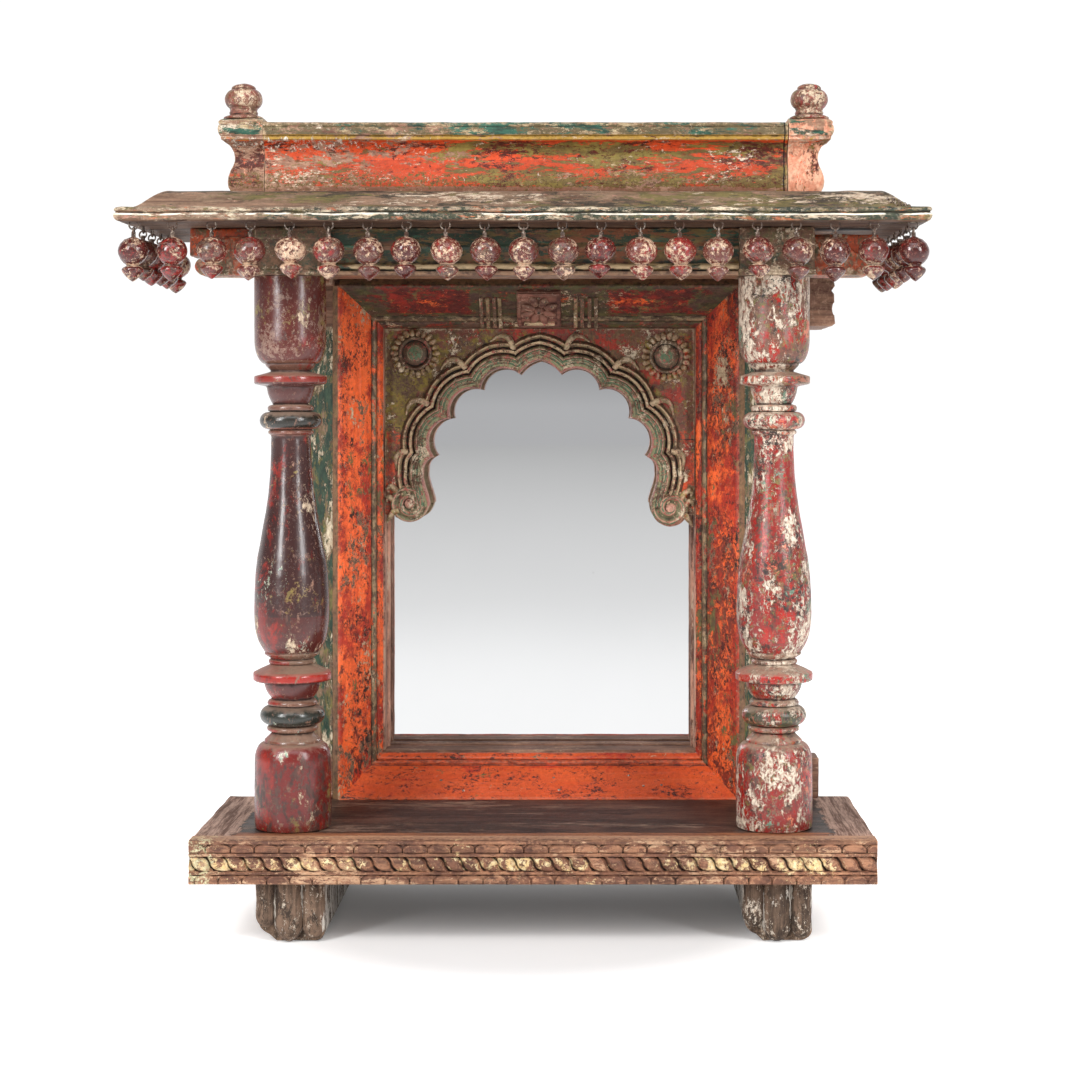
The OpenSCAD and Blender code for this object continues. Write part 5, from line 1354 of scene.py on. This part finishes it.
def parapet():
    line = resampled(PARAPET_LINE, 2.6)
    share = (line[:, 1] - ROOF_TOP) / (RAIL_TOP - ROOF_TOP)
    front, width = 64.0, 51.0
    reach = 298.0

    def section(line):
        return np.concatenate([np.stack([front + line[:, 0], line[:, 1]], -1),
                               np.stack([front + width - line[::-1, 0], line[::-1, 1]], -1)])

    loop = section(line)
    xs = np.linspace(-reach + 0.4, reach - 0.8, 190)
    loops = np.stack([xyz(x, loop[:, 0], loop[:, 1]) for x in xs])
    loops = worn(loops, 0.7, 251, 24)
    loops[..., 2] = np.maximum(loops[..., 2], ROOF_TOP)
    shape = Shape()
    shape.sweep(loops, np.tile(np.concatenate([share, share[::-1]]), len(xs)))
    make("parapet_moulding", shape, PARAPET, ["parapet_rail"], shift=ROOF)
    shape = Shape()
    tall = np.concatenate([line[:-3] + np.where(line[:-3, 1:2] > 906, [0.0, 2.0], [0.0, 0.0]),
                           [(0.6, 921.0), (2.4, 923.4), (6.0, 925.4), (10.0, 926.0)]])
    high = np.clip((tall[:, 1] - ROOF_TOP) / (RAIL_TOP - ROOF_TOP), 0, 1)
    loop, band = section(tall), np.concatenate([high, high[::-1]])
    inset = np.concatenate([tall[:, 0], tall[::-1, 0]])
    for side in (-1, 1):
        # The outer end is mitred, so the moulding runs round the corner
        across = np.linspace(0, 1, 26)[:, None]
        end = reach + width - inset
        end = np.where(loop[:, 1] > 924.5, np.minimum(end, reach + width - 3), end)
        x = reach + (end - reach) * across
        loops = xyz(side * x, loop[:, 0], loop[:, 1])
        loops = worn(loops, 0.6, 255 + side, 14)
        loops[..., 2] = np.clip(loops[..., 2], ROOF_TOP, BLOCK_TOP)
        loops[..., 0] = side * np.maximum(side * loops[..., 0], reach + 0.2)
        n, m, _ = loops.shape
        # The mitred outer end closes between the front and the back of the section
        rung = np.arange(m // 2)
        cap = np.stack([rung[:-1], rung[1:], m - 2 - rung[:-1], m - 1 - rung[:-1]], -1)
        shape.add(loops, [grid(n, m, wrap_v=True), cap[:, ::-1], (n - 1) * m + cap], np.tile(band, n))
    make("parapet_block_pair", shape, PARAPET_BLOCK, ["parapet_blocks"], shift=ROOF, sharp=30)
    shape = Shape()
    knob = ([(0.3, 0.0), (21.6, 0.2), (22.6, 1.4), (22.4, 3.0), (20.0, 4.2), (16.6, 5.2), (15.6, 6.4), (16.2, 7.4),
             (16.4, 8.6), (15.6, 9.6),
             (15.3, 11.4), (16.0, 12.4)] + arc(11.6, 23.6, 9.8, 11.4, -62, 62, 16) + [
             (14.4, 34.6), (13.4, 35.2), (13.8, 36.0), (13.6, 37.2), (12.2, 38.8), (9.0, 40.4), (4.0, 41.5),
             (0.3, 41.8)])
    for side in (-1, 1):
        shape.lathe(resampled(knob, 1.6), (side * 323.5, front + width / 2, BLOCK_TOP), 64, 0.5, 261 + side, size=10)
    for p in shape.points:
        p[:, 2] = np.clip(p[:, 2], BLOCK_TOP, FINIAL_TOP)
    make("finial_knobs", shape, finial_paint(), ["finials"], shift=ROOF)


# Drops and their wire hooks: the turned outline is the radius, and the height above the hinge

DROP = [(0.3, -4.8), (1.9, -5.0), (2.3, -8.0), (5.0, -8.8), (10.6, -11.0), (15.0, -15.4), (17.2, -20.2),
        (17.6, -23.4), (17.0, -27.0), (14.6, -31.8),
        (11.0, -35.6), (8.0, -37.6), (7.0, -38.6), (7.4, -39.6), (10.8, -41.0), (12.4, -42.6), (12.7, -44.2),
        (11.6, -46.6), (8.6, -50.2),
        (4.6, -53.6), (1.6, -55.6), (0.3, -56.2)]


def ring(centre, radius, turn, n=28, lean=0.0):
    a = np.linspace(0, 2 * math.pi, n, endpoint=False)
    across, up = radius * np.cos(a), radius * np.sin(a)
    flat = xyz(across * math.cos(turn), across * math.sin(turn), up)
    flat[:, 1 if turn == 0 else 0] += lean * np.sin(a)
    return flat + np.asarray(centre, float)


def drops():
    rng = np.random.default_rng(7)
    places = [("front_%02d" % (i + 1), (FRONT_PITCH * i - ROW_X, ROW_D), 0.0) for i in range(FRONT_DROPS)]
    for word, side in (("left", -1), ("right", 1)):
        places += [("%s_%d" % (word, i + 1), (side * ROW_X, ROW_D + SIDE_PITCH * (i + 1)),
                    math.pi / 2) for i in range(SIDE_DROPS)]
    hooks = Shape()
    for i, (word, (x, d), turn) in enumerate(places):
        wide, tall = 1 + rng.uniform(-0.05, 0.03), 1 + rng.uniform(-0.05, 0.02)
        wide = min(wide, 0.93) if i in (0, 20, 21, 26) else wide
        lean, shade = rng.uniform(-0.05, 0.05, 2), int(rng.integers(0, 3))
        shape = Shape()
        profile = resampled(DROP, 1.3)
        profile = profile * [wide, tall]
        profile[:, 0] = np.maximum(profile[:, 0], 0.3)
        waist = np.exp(-((profile[:, 1] / tall + 38.8) / 2.0) ** 2)
        shape.lathe(profile, (0, 0, 0), 44, 0.55, 300 + 5 * i, waist, size=9)
        shape.tube(ring((0, 0, -1.7), 4.0, turn + math.pi / 2, 24, 0.4), 0.95, 8, 1, True)
        for k in range(5):
            shape.tube(ring((0, 0, 0), 1.0, 0, 16)[:, [0, 2, 1]] * [2.0, 2.0, 0] + [0, 0, -8.0 + 1.15 * k], 0.6, 6, 1,
                       True)
        p = np.concatenate(shape.points)
        p = p + xyz(lean[0] * p[:, 2], lean[1] * p[:, 2], 0.0) * (np.abs(p[:, 2:3]) > 4)
        shape.points = [p + [x, d, HINGE_Z]]
        make("bead_" + word, shape, [DROPS[shade], WIRE], ["drop_" + word], "drop_" + word, ROOF, 50)
        loop = ring((x, d, HINGE_Z + 5.0), 5.0, turn, 32, rng.uniform(-0.6, 0.6))
        loop[:, 2] = np.minimum(loop[:, 2], SOFFIT + 1.2)
        hooks.tube(loop, 0.95, 8, 0, True)
    make("hook_wires", hooks, WIRE, ["drop_hooks"], shift=ROOF)


# The shrine

feet()
base()
rail()
column(-1, "column_left_turned", left_column_paint(), "left_column", -3.0, -3.6)
column(1, "column_right_turned", right_column_paint(), "right_column")
window_frame()
casing()
flower_block()
arch(-1, "arch_left_carving", "arch_left")
arch(1, "arch_right_carving", "arch_right")
beams()
eave()
parapet()
drops()


# Studio

FLOOR_REACH = 30


def pale_floor():
    """A pale floor that glows where the photo's is white, and hardly under the shrine, where its shadow lies."""
    floor = bpy.data.meshes.new("floor")
    corners = [(x * FLOOR_REACH, y * FLOOR_REACH, 0) for x, y in ((-1, -1), (1, -1), (1, 1), (-1, 1))]
    floor.from_pydata(corners, [], [(0, 1, 2, 3)])
    pale = Paint("pale_floor")
    # In front of the shrine the floor glows, most near it and less further off, over a dark floor: painted light that
    # lights the shrine from below and that the mirror shows.
    away = pale.scaled(pale.axis("Y"), -1.0, 0.19)
    front = pale.step(away, 0.86, 0.36)
    fall = pale.math("DIVIDE", 0.69, pale.scaled(pale.math("MAXIMUM", away, 0.0), 0.11, 1.0))
    far = pale.node("ShaderNodeVectorMath", operation="LENGTH")
    pale.put(far.inputs[0], pale.place)
    # The floor hardly glows within about 0.25 m of the shrine's middle, so the shadow under it stays, and glows
    # beyond about 0.4 m, which whitens the floor and its shade there: painted light.
    behind = pale.blend(pale.step(far.outputs["Value"], 0.33, 0.09), 0.05, 0.78)
    speck = pale.scaled(pale.noise(60, 3), 0.02, 0.87)
    pale.colour = pale.mix(front, pale.mix(speck, BLACK, WHITE), (0.12, 0.12, 0.12, 1))
    shader = pale.node("ShaderNodeBsdfPrincipled")
    pale.put(shader.inputs["Base Color"], pale.colour)
    shader.inputs["Roughness"].default_value = 0.9
    shader.inputs["Specular IOR Level"].default_value = 0.1
    shader.inputs["Emission Color"].default_value = (1, 1, 1, 1)
    pale.put(shader.inputs["Emission Strength"], pale.blend(front, behind, pale.scaled(fall, 0.98, 0.27)))
    pale.finish(shader)
    floor.materials.append(pale.mat)
    obj = bpy.data.objects.new("floor", floor)
    scene.collection.objects.link(obj)


def air():
    """Soft light from all round: white behind the shrine, and greys in front that the mirror shows."""
    world = bpy.data.worlds.new("studio_air")
    scene.world = world
    world.use_nodes = True
    tree = world.node_tree
    tree.nodes.clear()
    coord = tree.nodes.new("ShaderNodeTexCoord")
    split = tree.nodes.new("ShaderNodeSeparateXYZ")
    tree.links.new(coord.outputs["Generated"], split.inputs[0])
    front = tree.nodes.new("ShaderNodeMapRange")
    front.interpolation_type = "SMOOTHSTEP"
    front.inputs["From Min"].default_value, front.inputs["From Max"].default_value = 0.15, 0.6
    tree.links.new(split.outputs["Y"], front.inputs["Value"])
    rise = tree.nodes.new("ShaderNodeValToRGB")
    marks = rise.color_ramp.elements
    for i, (spot, grey) in enumerate(((0.0, 0.46), (0.024, 0.30), (0.3, 0.18))):
        mark = marks[i] if i < 2 else marks.new(spot)
        mark.position, mark.color = spot, (grey, grey, grey * 1.02, 1)
    tree.links.new(split.outputs["Z"], rise.inputs[0])
    tone = tree.nodes.new("ShaderNodeMix")
    tone.data_type = "RGBA"
    tone.inputs[7].default_value = (1.0, 1.0, 1.0, 1)
    tree.links.new(rise.outputs[0], tone.inputs[6])
    tree.links.new(front.outputs[0], tone.inputs[0])
    glow = tree.nodes.new("ShaderNodeBackground")
    tree.links.new(tone.outputs[2], glow.inputs["Color"])
    glow.inputs["Strength"].default_value = 1.05
    out = tree.nodes.new("ShaderNodeOutputWorld")
    tree.links.new(glow.outputs[0], out.inputs["Surface"])


def lamp(name, place, target, size, power):
    """A soft rectangular lamp: places and sizes in metres, power in watts."""
    data = bpy.data.lights.new(name, "AREA")
    data.shape, data.size, data.size_y, data.energy = "RECTANGLE", size[0], size[1], power
    o = bpy.data.objects.new(name, data)
    o.location = place
    o.rotation_mode = "QUATERNION"
    o.rotation_quaternion = (Vector(target) - Vector(place)).to_track_quat("-Z", "Y")
    scene.collection.objects.link(o)


def camera():
    """The photo's view: level, from a little right of the middle, with the picture shifted onto the shrine."""
    cam = bpy.data.cameras.new("camera")
    cam.lens, cam.sensor_width = 70.0, 36.0
    cam.shift_x, cam.shift_y = -0.0481, -0.1231
    cam.clip_end = 100
    eye = bpy.data.objects.new("camera", cam)
    eye.location = (0.075, -2.488, 0.598)
    eye.rotation_euler = (math.pi / 2, 0, 0)
    scene.collection.objects.link(eye)
    scene.camera = eye
    scene.view_settings.view_transform = "Standard"


pale_floor()
air()
lamp("key_left", (-1.5, -2.0, 1.5), (0, 0, 0.5), (0.4, 1.6), 51)
lamp("key_right", (1.7, -1.9, 1.5), (0, 0, 0.5), (0.4, 1.6), 43)
lamp("top_soft", (0, -2.0, 2.6), (0, 0, 0.45), (2.4, 1.2), 25)
camera()
